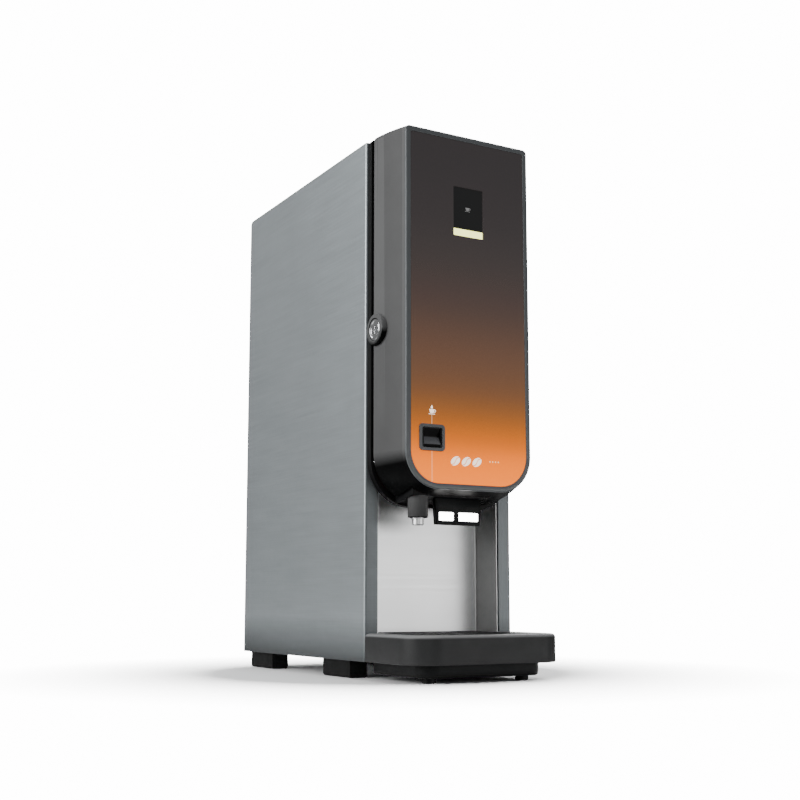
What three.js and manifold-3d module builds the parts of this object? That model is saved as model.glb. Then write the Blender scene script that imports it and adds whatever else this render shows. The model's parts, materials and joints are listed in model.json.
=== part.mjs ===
// A countertop hot coffee vending machine that brews from one canister of instant coffee.
// Millimetres, +Z up, the front faces -Y and z = 0 is the surface the machine stands on.
// While the pieces are made, y is counted from the front edge of the side panels. The whole
// machine is then moved so that its origin is on the floor under the middle of its box.
import * as THREE from "three";
import { mergeVertices } from "three/addons/utils/BufferGeometryUtils.js";
import Module from "manifold-3d";

const wasm = await Module();
wasm.setup();

// ---- Driving dimensions: cabinet -------------------------------------------------
const cabinetWidth = 186; // across the two side panels
const cabinetDepth = 327; // side panels, front edge to back edge
const cabinetHeight = 565; // side panels, bottom edge to top edge
const footHeight = 19;
const sheet = 1.5; // cabinet sheet metal
const gap = 0.3; // between pieces that touch
const slideGap = 0.6; // between a piece that slides and its neighbour
const flangeWidth = 15.6; // front edge of a side panel, turned inwards
const bendRadius = 2;
const topRearRadius = 6;
const rearLip = 22; // top cover's edge turned down at the back
const footWidth = 21;
const footLength = 65;
const footInset = 4;
const frontFootY = 41;
const rearFootEnd = 16; // rear foot's end to the cabinet's back

// ---- Driving dimensions: door ----------------------------------------------------
const doorLift = 178.4; // door's lowest front edge above the side panels' bottom edge
const doorProud = 2.4; // door's top above the side panels
const doorGap = 13; // side panels' front edge to the door's back edge
const doorThickness = 49.3;
const doorWall = 2.5;
const doorBackInset = 3; // door's back edge inside the cabinet's side
const doorFrontInset = 14.5; // door's front face inside the cabinet's side
const doorSideLean = THREE.MathUtils.degToRad(5); // lean of the door's side at its back edge
const doorLowerRadius = 40;
const doorUpperRadius = 5;
const bezelWidth = 6;
const bezelThickness = 2.5;
const glassThickness = 2.2;
const glassUpperRadius = 2;
const windowLip = 4; // door shell behind the glass's edge
const linerY = -41.5;
const hingeX = 12.5; // door's pivot inside the cabinet's side
const hingeY = -21;
const pinRadius = 2.5;
const pinClearance = 0.3;
const earHeight = 6;
const earReach = 8; // ear of the door in front of, behind and beside its pin
const lowerEarLift = 44; // lower ear above the door's lowest front edge
const upperEarDrop = 26; // upper ear below the door's top
const bracketHeight = 3;
const leafThickness = 2;
const leafReach = 8; // leaf and arm towards the bay, from the pivot
const leafHeight = 12; // leaf above and below its arm
const lockLift = 350.3; // lock's axis above the side panels' bottom edge
const lockY = -18.5;
const lockBossRadius = 17.5;
const lockBarrelRadius = 13.5;
const plugFaceRadius = 12;
const plugFaceDepth = 4.4;
const plugRadius = 9;
const keywayWidth = 2.2;
const keywayHeight = 9;
const lockDepth = 32;
const camThickness = 2.5;
const camRadius = 8;
const camReach = 26;

// ---- Driving dimensions: display and key -----------------------------------------
const screenHalf = 19;
const screenDrop = 58.4; // screen's top below the door's top
const screenHeight = 54.6;
const displayMargin = 7; // display's body beside the screen
const displayDepth = 13;
const keyInset = 24.8; // key's middle inside the glass's left edge
const keyLift = 53.6; // key's middle above the door's lowest front edge
const keyHalfWidth = 15.5;
const keyHalfHeight = 14;
const keyCornerRadius = 4;
const keyFrameWidth = 3.3;
const keyFrameDepth = 17;
const keyDepth = 10;
const keyProud = 1;

// ---- Driving dimensions: front frame, outlets and cup niche ----------------------
const frameInset = 2.5;
const frameThickness = 7.7;
const frameLift = 163; // frame's bottom edge above the side panels' bottom edge
const frameLowerRadius = 50;
const openingInset = 21; // bay opening inside the cabinet's side
const deckLift = 190.5; // deck above the side panels' bottom edge
const linerInset = 17.5; // niche wall inside the cabinet's side
const linerSheet = 1;
const nicheDepth = 44;
const spoutX = -48;
const spoutY = -34;
const spoutRadius = 10.8;
const spoutTipRadius = 6.2;
const spoutWall = 2;
const spoutStem = 4; // radius of the stem that goes through the hood
const spoutTipLift = 142.2;
const spoutShoulderLift = 149.8;
const outletY = -21.5;
const outletRadius = 8.5;
const outletLift = 152;
const lampFrontY = -38;
const lampDepth = 7;
const lampHalfWidth = 30;
const lampTaper = 3;
const lampLift = 143.5;
const lensLift = 147.6;
const lensHeight = 9.4;
const lensBack = 3;
const lensSpans = { left: [-24, -5.5], right: [0.5, 25.5] };
const hoodDrop = 5.5; // hood's top below the deck
const hoodSideRoom = 4.5; // door's cut-out beside the spout and the lamp bar
const hoodFrontRoom = 2.5;
const hoodInset = 2.5; // hood's side inside the door's cut-out

// ---- Driving dimensions: drip tray -----------------------------------------------
const trayReach = 104; // in front of the side panels
const trayHeight = 29.5;
const trayCornerRadius = 33.5;
const trayRim = 9;
const trayLedge = 4; // what the grille rests on
const grilleThickness = 2.4;
const trayBaseInset = 19; // base's side inside the cabinet's side
const trayBaseSetback = 14; // base's front behind the tray's front
const trayBaseRadius = 20;
const trayBaseWall = 3;
const trayBaseHeight = 13.2;
const trayBasePadHeight = 5.5;
const trayBasePadRadius = 7;
const trayBasePadInset = 17; // pad's middle inside the base's side
const trayBasePadSetback = 20; // pad's middle behind the base's front
const trayBaseBack = 18;

// ---- Driving dimensions: brewing parts -------------------------------------------
const bulkheadY = 125;
const motorLength = 63;
const canisterFrontY = 34;
const canisterWall = 2.5;
const canisterSideInset = 38; // canister's side inside the cabinet's side
const canisterHeadroom = 84; // canister's rim below the side panels' top edge
const shelfLift = 307; // canister shelf above the side panels' bottom edge
const augerRise = 22; // auger's axis above the shelf's top
const augerRadius = 14;
const bowlRadius = 34;
const bowlY = 50;
const bowlTopDrop = 18; // bowl's rim below the canister shelf
const whipperRise = 32; // whipper's axis above the deck's top
const whipperRadius = 20;
const boilerInset = 33;
const boilerWall = 2;
const boilerRadius = 14;
const boilerDrop = 124; // boiler's rim below the side panels' top edge
const elementHalf = 24; // half the spread of the heating element's legs
const elementRadius = 4;
const pipeRadius = 4;
const pipeRoom = 1.5; // between a pipe and its hole in the bulkhead
const spigotRadius = 7.5;
const outletCollar = 13; // radius of the elbow's collar on the canister
const dogSlot = 3.2;
const fanHalf = 28;
const fanDepth = 18;
const fanDrop = 44; // fan's axis below the side panels' top edge

// ---- Driving dimensions: rear panel ----------------------------------------------
const ventRows = 9;
const ventHeight = 5;
const ventPitch = 11;
const ventDrop = 30; // highest slot below the rear panel's top
const ventMiddle = 8; // slots' inner ends from the middle
const ventInset = 22; // slots' outer ends inside the rear panel's side
const inletInset = 45; // water inlet's axis inside the cabinet's side
const inletLift = 48;
const inletRadius = 10;
const socketHalfWidth = 15;
const socketLift = 24;
const socketHeight = 52;
const socketLip = 2;
const rockerHalf = 8;
const rockerHeight = 12;

// ---- Values worked out from them -------------------------------------------------
const halfWidth = cabinetWidth / 2;
const panelBottom = footHeight;
const panelTop = panelBottom + cabinetHeight;
const innerHalf = halfWidth - sheet - gap;
const backY = cabinetDepth - sheet; // inner face of the rear panel
const doorBackY = -doorGap;
const doorFrontY = doorBackY - doorThickness;
const shellFrontY = doorFrontY + bezelThickness + gap;
const doorBottom = panelBottom + doorLift;
const doorTop = panelTop + doorProud;
const frontHalf = halfWidth - doorFrontInset;
const glassHalf = frontHalf - bezelWidth - gap;
const frameBottom = panelBottom + frameLift;
const deckBottom = panelBottom + deckLift;
const deckTop = deckBottom + sheet;
const openingHalf = halfWidth - openingInset;
const openingTop = panelTop - 5;
const nicheHalf = halfWidth - linerInset;
const trayBottom = panelBottom;
const trayTop = trayBottom + trayHeight;
const pivotX = halfWidth - hingeX;
const shelfTop = panelBottom + shelfLift + sheet;
const augerZ = shelfTop + augerRise;
const whipperZ = deckTop + whipperRise;
const bowlTop = panelBottom + shelfLift - bowlTopDrop;
const fanZ = panelTop - fanDrop;
const canisterTop = panelTop - canisterHeadroom;
const canisterHalf = halfWidth - canisterSideInset;
const canisterBackY = bulkheadY - gap - sheet - 4;
const boilerFrontY = bulkheadY + sheet + motorLength + 15;
const boilerBackY = cabinetDepth - 12;

// ---- Tools for shapes ------------------------------------------------------------

// A closed geometry as a solid, with its shared vertices merged.
function solid(geometry) {
  const bare = new THREE.BufferGeometry();
  bare.setAttribute("position", geometry.getAttribute("position"));
  bare.setIndex(geometry.index);
  const merged = mergeVertices(bare, 1e-4);
  const vertProperties = merged.attributes.position.array;
  const triVerts = new Uint32Array(merged.index.array);
  return new wasm.Manifold(new wasm.Mesh({ numProp: 3, vertProperties, triVerts }));
}

function geometryOf(shape) {
  const { vertProperties, triVerts } = shape.getMesh();
  const geometry = new THREE.BufferGeometry();
  geometry.setAttribute("position", new THREE.BufferAttribute(vertProperties, 3));
  geometry.setIndex(new THREE.BufferAttribute(triVerts, 1));
  geometry.computeVertexNormals();
  return geometry;
}

const join = (first, ...others) => others.reduce((whole, piece) => whole.add(piece), first);
const cut = (first, ...tools) => tools.reduce((whole, tool) => whole.subtract(tool), first);

// Points of a closed outline through corners [across, up, radius]; a radius makes an arc.
function outline(corners, steps = 4) {
  return corners.flatMap(([across, up, radius = 0], i) => {
    const corner = new THREE.Vector2(across, up);
    if (radius <= 0) return [corner];
    const [beforeAcross, beforeUp] = corners.at(i - 1);
    const [afterAcross, afterUp] = corners[(i + 1) % corners.length];
    const a = new THREE.Vector2(beforeAcross, beforeUp).sub(corner).normalize();
    const b = new THREE.Vector2(afterAcross, afterUp).sub(corner).normalize();
    const half = Math.acos(THREE.MathUtils.clamp(a.dot(b), -1, 1)) / 2;
    const centre = a.clone().add(b).setLength(radius / Math.sin(half)).add(corner);
    const start = a.clone().multiplyScalar(radius / Math.tan(half)).add(corner);
    const turn = (Math.PI - 2 * half) * (a.cross(b) < 0 ? 1 : -1);
    return Array.from({ length: steps + 1 }, (_, k) =>
      start.clone().rotateAround(centre, (turn * k) / steps),
    );
  });
}

// Corners of a rectangle with one radius, and points of a circle.
const rect = (left, right, low, high, radius = 0) => [
  [left, low, radius],
  [right, low, radius],
  [right, high, radius],
  [left, high, radius],
];
function circle(across, up, radius, sides = 16) {
  return Array.from({ length: sides }, (_, i) => {
    const angle = (2 * Math.PI * i) / sides;
    return [across + radius * Math.cos(angle), up + radius * Math.sin(angle)];
  });
}

const X = new THREE.Vector3(1, 0, 0);
const Y = new THREE.Vector3(0, 1, 0);
const Z = new THREE.Vector3(0, 0, 1);

// An outline made solid along an axis. It is drawn in (y, z), (x, z) or (x, y).
function prism(axis, corners, from, to, { holes = [], steps = 4 } = {}) {
  const shape = new THREE.Shape(outline(corners, steps));
  const geometry = new THREE.ExtrudeGeometry(shape, { depth: to - from, bevelEnabled: false });
  const turned = new THREE.Matrix4();
  if (axis === "x") turned.makeBasis(Y, Z, X).setPosition(from, 0, 0);
  if (axis === "y") turned.makeBasis(X, Z, Y.clone().negate()).setPosition(0, to, 0);
  if (axis === "z") turned.makeTranslation(0, 0, from);
  const whole = solid(geometry.applyMatrix4(turned));
  return cut(whole, ...holes.map((hole) => prism(axis, hole, from - 1, to + 1, { steps })));
}

function block(x0, x1, y0, y1, z0, z1) {
  const geometry = new THREE.BoxGeometry(x1 - x0, y1 - y0, z1 - z0);
  return solid(geometry.translate((x0 + x1) / 2, (y0 + y1) / 2, (z0 + z1) / 2));
}

// A round bar along an axis: "x" at (y, z), "y" at (x, z) or "z" at (x, y).
function rod(axis, radius, from, to, a, b, sides = 20) {
  return prism(axis, circle(a, b, radius, sides), from, to);
}

// A profile of [radius, height] turned about a vertical axis at (x, y).
function turned(profile, x, y, sides = 24) {
  const points = profile.map(([radius, height]) => new THREE.Vector2(radius, height));
  const geometry = new THREE.LatheGeometry(points, sides);
  return solid(geometry.rotateX(Math.PI / 2).translate(x, y, 0));
}

// A round bar bent along a smooth path.
function pipe(points, radius, steps, sides = 8) {
  const route = points.map((point) => new THREE.Vector3(...point));
  const extrudePath = new THREE.CatmullRomCurve3(route, false, "centripetal");
  const section = new THREE.Shape(outline(circle(0, 0, radius, sides)));
  const geometry = new THREE.ExtrudeGeometry(section, { steps, extrudePath, bevelEnabled: false });
  return solid(geometry);
}

// A closed skin through outlines in (x, z) with equal point counts, from back to front.
function loft(sections) {
  const count = sections[0].points.length;
  const positions = sections.flatMap(({ y, points }) => points.flatMap((p) => [p.x, y, p.y]));
  const index = [];
  for (let s = 0; s + 1 < sections.length; s += 1) {
    for (let i = 0; i < count; i += 1) {
      const next = (i + 1) % count;
      const [a, b] = [s * count + i, s * count + next];
      index.push(a, b, a + count, b, b + count, a + count);
    }
  }
  const lastRing = (sections.length - 1) * count;
  THREE.ShapeUtils.triangulateShape(sections[0].points, []).forEach(([a, b, c]) => {
    index.push(c, b, a);
    index.push(lastRing + a, lastRing + b, lastRing + c);
  });
  const geometry = new THREE.BufferGeometry();
  geometry.setAttribute("position", new THREE.Float32BufferAttribute(positions, 3));
  geometry.setIndex(index);
  return solid(geometry);
}

// ---- Finishes --------------------------------------------------------------------
const finish = (color, roughness, metalness = 0) =>
  new THREE.MeshStandardMaterial({ color, roughness, metalness });
const finishes = {
  coatedSteel: finish(0x8d9699, 0.42, 0.75),
  stainless: finish(0xd4d6d7, 0.32, 1),
  zinc: finish(0xa9adb0, 0.45, 0.9),
  brass: finish(0xb99a55, 0.35, 1),
  chrome: finish(0xe4e6e8, 0.12, 1),
  greyPlastic: finish(0x5e5f60, 0.5),
  trayPlastic: finish(0x4b4c4d, 0.55),
  bezelPlastic: finish(0x4f565a, 0.4),
  blackPlastic: finish(0x101112, 0.55),
  glossBlack: finish(0x08090a, 0.12),
  frontGlass: finish(0x8a5236, 0.1),
  rubber: finish(0x0c0c0c, 0.85),
  canisterPlastic: finish(0xd9dcda, 0.3),
  whitePlastic: finish(0xe9e9e6, 0.4),
  hose: finish(0xc9cccb, 0.45),
  copper: finish(0xb87350, 0.35, 1),
  board: finish(0x1f6b45, 0.5),
  lens: finish(0xffffff, 0.2),
};

const machine = new THREE.Group();

function add(name, shape, look) {
  const mesh = new THREE.Mesh(geometryOf(shape), finishes[look]);
  mesh.name = name;
  machine.add(mesh);
}

// ---- Cabinet ---------------------------------------------------------------------

// One sheet with its front edge turned inwards and a round corner at the top rear.
function sidePanel(side) {
  const outer = side * halfWidth;
  const inner = side * (halfWidth - sheet);
  const flange = side * (halfWidth - flangeWidth);
  const plan = [
    [outer, 0, bendRadius],
    [outer, cabinetDepth],
    [inner, cabinetDepth],
    [inner, sheet, bendRadius - sheet],
    [flange, sheet],
    [flange, 0],
  ];
  const elevation = [
    [-sheet, panelBottom],
    [cabinetDepth, panelBottom],
    [cabinetDepth, panelTop, topRearRadius],
    [-sheet, panelTop],
  ];
  const folded = prism("z", plan, panelBottom, panelTop, { steps: 3 });
  return folded.intersect(prism("x", elevation, -halfWidth, halfWidth));
}

function topPanel() {
  const front = sheet + gap;
  const lipEnd = panelTop - rearLip;
  const profile = [
    [front, panelTop],
    [cabinetDepth, panelTop, topRearRadius],
    [cabinetDepth, lipEnd],
    [backY, lipEnd],
    [backY, panelTop - sheet, topRearRadius - sheet],
    [front, panelTop - sheet],
  ];
  return prism("x", profile, -innerHalf, innerHalf);
}

const inletX = halfWidth - inletInset;
const inletZ = panelBottom + inletLift;
const socketX = -inletX;
const socketLow = panelBottom + socketLift;
const socketHigh = socketLow + socketHeight;

function rearPanel() {
  const top = panelTop - rearLip - gap;
  const slots = [];
  for (let row = 0; row < ventRows; row += 1) {
    const high = top - ventDrop - row * ventPitch;
    for (const side of [-1, 1]) {
      const ends = [side * ventMiddle, side * (innerHalf - ventInset)].sort((a, b) => a - b);
      slots.push(rect(ends[0], ends[1], high - ventHeight, high));
    }
  }
  const socketReach = socketHalfWidth - socketLip;
  const holes = [
    ...slots,
    rect(socketX - socketReach, socketX + socketReach, socketLow + socketLip, socketHigh - socketLip),
    circle(inletX, inletZ, inletRadius + gap),
  ];
  const sheetOutline = rect(-innerHalf, innerHalf, panelBottom, top);
  return prism("y", sheetOutline, backY, cabinetDepth, { holes });
}

function basePlate() {
  const plan = rect(-innerHalf, innerHalf, sheet + gap, backY - gap);
  return prism("z", plan, panelBottom, panelBottom + sheet);
}

function foot(side, front) {
  const near = halfWidth - footInset;
  const ends = [side * near, side * (near - footWidth)].sort((a, b) => a - b);
  const top = footHeight - gap;
  const profile = [
    [ends[0], 0, 3],
    [ends[1], 0, 3],
    [ends[1], top],
    [ends[0], top],
  ];
  return prism("y", profile, front, front + footLength);
}

function deckPlate() {
  return prism("z", rect(-innerHalf, innerHalf, sheet + gap, backY - gap), deckBottom, deckTop);
}

const hotPipeX = -(halfWidth - 27);
const hotPipeZ = deckTop + 40;
const brewPipeX = halfWidth - 27;
const brewPipeZ = bowlTop - 10;

function bulkhead() {
  const holes = [
    circle(0, augerZ, 12),
    circle(0, whipperZ, 9),
    circle(0, fanZ, 24, 24),
    circle(hotPipeX, hotPipeZ, pipeRadius + pipeRoom, 12),
    circle(brewPipeX, brewPipeZ, pipeRadius + pipeRoom, 12),
  ];
  const sheetOutline = rect(-innerHalf, innerHalf, deckTop + gap, panelTop - sheet - gap);
  return prism("y", sheetOutline, bulkheadY, bulkheadY + sheet, { holes });
}

function canisterShelf() {
  const back = bulkheadY - gap;
  const low = shelfTop - sheet;
  const profile = [
    [canisterFrontY + 4, low],
    [back, low, 2],
    [back, shelfTop + 10],
    [back - sheet, shelfTop + 10],
    [back - sheet, shelfTop],
    [canisterFrontY + 4, shelfTop],
  ];
  return prism("x", profile, -canisterHalf, canisterHalf);
}

function splashPanel() {
  const outer = nicheHalf + linerSheet;
  const front = sheet + 0.7;
  const plan = [
    [-outer, front],
    [-nicheHalf, front],
    [-nicheHalf, nicheDepth, 1],
    [nicheHalf, nicheDepth, 1],
    [nicheHalf, front],
    [outer, front],
    [outer, nicheDepth + linerSheet, 2],
    [-outer, nicheDepth + linerSheet, 2],
  ];
  return prism("z", plan, panelBottom + sheet + gap, deckBottom - gap);
}

// ---- Door ------------------------------------------------------------------------

// The door's side is an arc in plan; its underside swells by the same amount.
const shellDepth = doorBackY - shellFrontY;
const sideRise = doorFrontInset - doorBackInset;
const frontLean = 2 * Math.atan(sideRise / shellDepth) - doorSideLean;
const sideArc = shellDepth / (Math.sin(frontLean) - Math.sin(doorSideLean));

// How far the door swells beyond its front outline at a depth in front of its back edge.
function swell(depth) {
  const lean = Math.asin(Math.sin(doorSideLean) + depth / sideArc);
  return sideRise - sideArc * (Math.cos(doorSideLean) - Math.cos(lean));
}

// Door outline in (x, z), swollen on its sides and underside and shrunk by a wall.
function doorOutline(swollen, wall, steps = 6) {
  const half = frontHalf + swollen - wall;
  const low = doorBottom - swollen + wall;
  const high = doorTop - wall;
  const lower = doorLowerRadius + swollen - wall;
  const upper = Math.max(doorUpperRadius - wall, 1);
  const corners = [
    [-half, low, lower],
    [half, low, lower],
    [half, high, upper],
    [-half, high, upper],
  ];
  return outline(corners, steps);
}

// Solid block of the door's outer shape, less a wall all round, running out past its back edge.
function doorBlock(wall, frontY) {
  const sections = 5;
  const back = { y: doorBackY + Math.abs(wall), points: doorOutline(swell(0), wall) };
  const rest = Array.from({ length: sections }, (_, i) => {
    const y = doorBackY + ((frontY - doorBackY) * (i + 1)) / sections;
    return { y, points: doorOutline(swell(doorBackY - y), wall) };
  });
  return loft([back, ...rest]);
}

const outletLeft = spoutX - spoutRadius - hoodSideRoom;
const outletRight = lampHalfWidth + hoodSideRoom;
const outletFront = spoutY - spoutRadius - hoodFrontRoom;
const hoodTop = deckBottom - hoodDrop;
const lockZ = panelBottom + lockLift;
const lowerEarZ = doorBottom + lowerEarLift;
const upperEarZ = doorTop - upperEarDrop;
const lowerBracketZ = lowerEarZ - gap - bracketHeight;
const upperBracketZ = upperEarZ + earHeight + gap;

function doorShell() {
  const hollow = doorBlock(doorWall, shellFrontY + doorWall);
  const half = glassHalf - windowLip;
  const low = doorBottom + bezelWidth + windowLip;
  const high = doorTop - bezelWidth - windowLip;
  const radius = doorLowerRadius - bezelWidth - windowLip;
  const window = [
    [-half, low, radius],
    [half, low, radius],
    [half, high, glassUpperRadius],
    [-half, high, glassUpperRadius],
  ];
  const outer = doorBlock(0, shellFrontY);
  const shell = cut(
    outer,
    hollow,
    prism("y", window, shellFrontY - 1, shellFrontY + doorWall + 1, { steps: 6 }),
    block(outletLeft, outletRight, outletFront, 0, doorBottom - 30, hoodTop + 1.5),
    rod("x", lockBarrelRadius + gap, -halfWidth - 1, -halfWidth + 20, lockY, lockZ),
    bracketRelief(lowerBracketZ),
    bracketRelief(upperBracketZ),
  );
  return cut(
    join(shell, hingeEar(lowerEarZ, outer), hingeEar(upperEarZ, outer)),
    rod("z", pinRadius + pinClearance, lowerEarZ - 1, lowerEarZ + earHeight + 1, pivotX, hingeY, 16),
    rod("z", pinRadius + pinClearance, upperEarZ - 1, upperEarZ + earHeight + 1, pivotX, hingeY, 16),
  );
}

// An ear of the door that a hinge pin goes through, and the slot for the bracket beside it.
function hingeEar(z, outer) {
  const [front, back] = [hingeY - earReach + 1, hingeY + earReach - 1.5];
  return block(pivotX - earReach, halfWidth, front, back, z, z + earHeight).intersect(outer);
}
function bracketRelief(z) {
  return block(pivotX - 14, halfWidth, hingeY - 6.5, 0, z - 0.7, z + bracketHeight + 0.7);
}

function bezel() {
  const outer = [
    [-frontHalf, doorBottom, doorLowerRadius],
    [frontHalf, doorBottom, doorLowerRadius],
    [frontHalf, doorTop, doorUpperRadius],
    [-frontHalf, doorTop, doorUpperRadius],
  ];
  const back = doorFrontY + bezelThickness;
  return prism("y", outer, doorFrontY, back, { holes: [glassOutline(gap)], steps: 8 });
}

function glassOutline(grow) {
  const half = glassHalf + grow;
  const low = doorBottom + bezelWidth + gap - grow;
  const high = doorTop - bezelWidth - gap + grow;
  const lower = doorLowerRadius - bezelWidth + grow;
  return [
    [-half, low, lower],
    [half, low, lower],
    [half, high, glassUpperRadius + grow],
    [-half, high, glassUpperRadius + grow],
  ];
}

const screenHigh = doorTop - screenDrop;
const screenLow = screenHigh - screenHeight;
const keyX = -glassHalf + keyInset;
const keyZ = doorBottom + keyLift;

function keyRect(grow, radius) {
  const [w, h] = [keyHalfWidth + grow, keyHalfHeight + grow];
  return rect(keyX - w, keyX + w, keyZ - h, keyZ + h, radius);
}

function frontGlass() {
  const holes = [
    rect(-screenHalf, screenHalf, screenLow, screenHigh, 1),
    keyRect(gap, keyCornerRadius + gap),
  ];
  const front = doorFrontY + gap;
  return prism("y", glassOutline(0), front, front + glassThickness, { holes, steps: 6 });
}

function displayModule() {
  const boss = rect(-screenHalf + gap, screenHalf - gap, screenLow + gap, screenHigh - gap, 1);
  const bodyHalf = screenHalf + displayMargin;
  const body = rect(-bodyHalf, bodyHalf, screenLow - 5, screenHigh + 5, 2);
  const seat = doorFrontY + 2 * gap + glassThickness;
  return join(
    prism("y", boss, doorFrontY + 1.1, seat + 1),
    prism("y", body, seat, seat + displayDepth),
  );
}

function keyFrame() {
  const front = doorFrontY - keyProud;
  const back = doorFrontY + keyFrameDepth;
  const inner = keyRect(-keyFrameWidth, keyCornerRadius - 2);
  return cut(
    prism("y", keyRect(0, keyCornerRadius), front, back),
    prism("y", inner, front - 1, back - sheet),
  );
}

function hotWaterKey() {
  const front = doorFrontY - keyProud + 0.4;
  const face = keyRect(-keyFrameWidth - gap, keyCornerRadius - 2.2);
  return prism("y", face, front, front + keyDepth);
}

function doorLiner() {
  const inside = swell(doorBackY - linerY) - doorWall - slideGap;
  const half = frontHalf + inside;
  const low = deckBottom;
  const corners = [
    [-half, low, doorLowerRadius - 4],
    [half, low, doorLowerRadius - 4],
    [half, doorTop - doorWall - slideGap, 3],
    [-half, doorTop - doorWall - slideGap, 3],
  ];
  return prism("y", corners, linerY, linerY + sheet, { steps: 6 });
}

// The boss of the lock fills the space between the door's curved side and the lock's face.
function lockBody() {
  const face = -halfWidth;
  const boss = rod("x", lockBossRadius, face, face + 9, lockY, lockZ, 32);
  const barrel = rod("x", lockBarrelRadius, face + 1, face + lockDepth, lockY, lockZ);
  const seated = cut(boss, doorBlock(-gap, shellFrontY));
  return cut(
    join(seated, barrel),
    rod("x", plugFaceRadius + gap, face - 1, face + 5, lockY, lockZ),
    rod("x", plugRadius + gap, face + 4, face + lockDepth + 1, lockY, lockZ),
  );
}

function lockPlug() {
  const face = -halfWidth + gap;
  const [across, up] = [keywayWidth / 2, keywayHeight / 2];
  return cut(
    join(
      rod("x", plugFaceRadius, face, face + plugFaceDepth, lockY, lockZ),
      rod("x", plugRadius, face + 4, face + lockDepth, lockY, lockZ),
    ),
    block(face - 1, face + 3, lockY - across, lockY + across, lockZ - up, lockZ + up),
  );
}

function lockCam() {
  const start = -halfWidth + lockDepth + 2 * gap;
  return join(
    rod("x", camRadius, start, start + camThickness, lockY, lockZ),
    block(start, start + camThickness, lockY - 6, lockY + 6, lockZ, lockZ + camReach),
  );
}

// ---- Front frame and hinges ------------------------------------------------------

const frameFrontY = -gap - frameThickness;

// A hinge leaf flush with the frame's front, or the pocket that it lies in.
function leafBlock(z, room) {
  return block(
    pivotX - leafReach - room,
    pivotX + 6 + room,
    frameFrontY - room,
    frameFrontY + leafThickness + room,
    z - leafHeight - room,
    z + bracketHeight + leafHeight + room,
  );
}

function frontFrame() {
  const half = halfWidth - frameInset;
  const top = doorTop - 1.4;
  const corners = [
    [-half, frameBottom, frameLowerRadius],
    [half, frameBottom, frameLowerRadius],
    [half, top, 4],
    [-half, top, 4],
  ];
  const opening = rect(-openingHalf, openingHalf, deckTop, openingTop, 6);
  return cut(
    prism("y", corners, frameFrontY, -gap, { holes: [opening], steps: 8 }),
    rod("x", lockBossRadius + 0.8, -halfWidth, -openingHalf + 1, lockY, lockZ, 32),
    leafBlock(lowerBracketZ, gap),
    leafBlock(upperBracketZ, gap),
  );
}

// A bracket with its leaf let into the frame and a pin that points into the door's ear.
function hingeBracket(z, pinUp) {
  const arm = block(pivotX - leafReach, pivotX + 4, hingeY - 4, frameFrontY + 1, z, z + bracketHeight);
  const pinFrom = pinUp ? z + 1 : z - earHeight;
  const pinTo = pinUp ? z + bracketHeight + earHeight : z + bracketHeight - 1;
  return join(arm, leafBlock(z, 0), rod("z", pinRadius, pinFrom, pinTo, pivotX, hingeY, 16));
}

// ---- Outlets under the door ------------------------------------------------------

const hoodBack = -2 * gap - frameThickness;
const hoodFront = outletFront + 2;

// The hood's underside continues the door's underside.
const undersideAt = (y) => doorBottom - swell(doorBackY - Math.min(y, doorBackY));

function hoodBlock(drop) {
  const front = undersideAt(hoodFront);
  const profile = [
    [hoodFront, front - drop],
    [doorBackY, undersideAt(doorBackY) - drop],
    [hoodBack, undersideAt(doorBackY) - drop],
    [hoodBack, hoodTop],
    [hoodFront, hoodTop],
  ];
  return prism("x", profile, outletLeft + hoodInset, outletRight - hoodInset);
}

function outletHood() {
  return cut(
    hoodBlock(0),
    rod("z", outletRadius + gap, 0, hoodTop + 1, 0, outletY),
    rod("z", spoutStem + gap, 0, hoodTop + 1, spoutX, spoutY, 16),
  );
}

function hotWaterSpout() {
  const tip = panelBottom + spoutTipLift;
  const shoulder = panelBottom + spoutShoulderLift;
  const collar = cut(rod("z", spoutRadius, shoulder, hoodTop, spoutX, spoutY), hoodBlock(gap));
  return cut(
    join(
      collar,
      rod("z", spoutTipRadius, tip, shoulder + 1, spoutX, spoutY),
      rod("z", spoutStem, shoulder, hoodTop + 3, spoutX, spoutY, 16),
    ),
    rod("z", spoutTipRadius - spoutWall, tip - 1, shoulder - 1, spoutX, spoutY, 16),
  );
}

const lensLow = panelBottom + lensLift;
const lensHigh = lensLow + lensHeight;

function lampBar() {
  const low = panelBottom + lampLift;
  const corners = [
    [-lampHalfWidth + lampTaper, low],
    [lampHalfWidth - lampTaper, low],
    [lampHalfWidth, hoodTop],
    [-lampHalfWidth, hoodTop],
  ];
  const bar = prism("y", corners, lampFrontY, lampFrontY + lampDepth);
  const pockets = Object.values(lensSpans).map(([from, to]) =>
    block(from, to, lampFrontY - 1, lampFrontY + lensBack, lensLow, lensHigh),
  );
  return cut(bar, hoodBlock(gap), ...pockets);
}

function lampLens([from, to]) {
  const [front, back] = [lampFrontY + gap, lampFrontY + lensBack - gap];
  return block(from + gap, to - gap, front, back, lensLow + gap, lensHigh - gap);
}

const outletTop = deckTop + 2;

function coffeeOutlet() {
  const low = panelBottom + outletLift;
  const profile = [
    [outletRadius - 3, low],
    [outletRadius - 1.5, low],
    [outletRadius, low + 6],
    [outletRadius, outletTop],
    [outletRadius - 3, outletTop],
  ];
  return turned([...profile, profile[0]], 0, outletY, 24);
}

// ---- Drip tray -------------------------------------------------------------------

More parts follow.
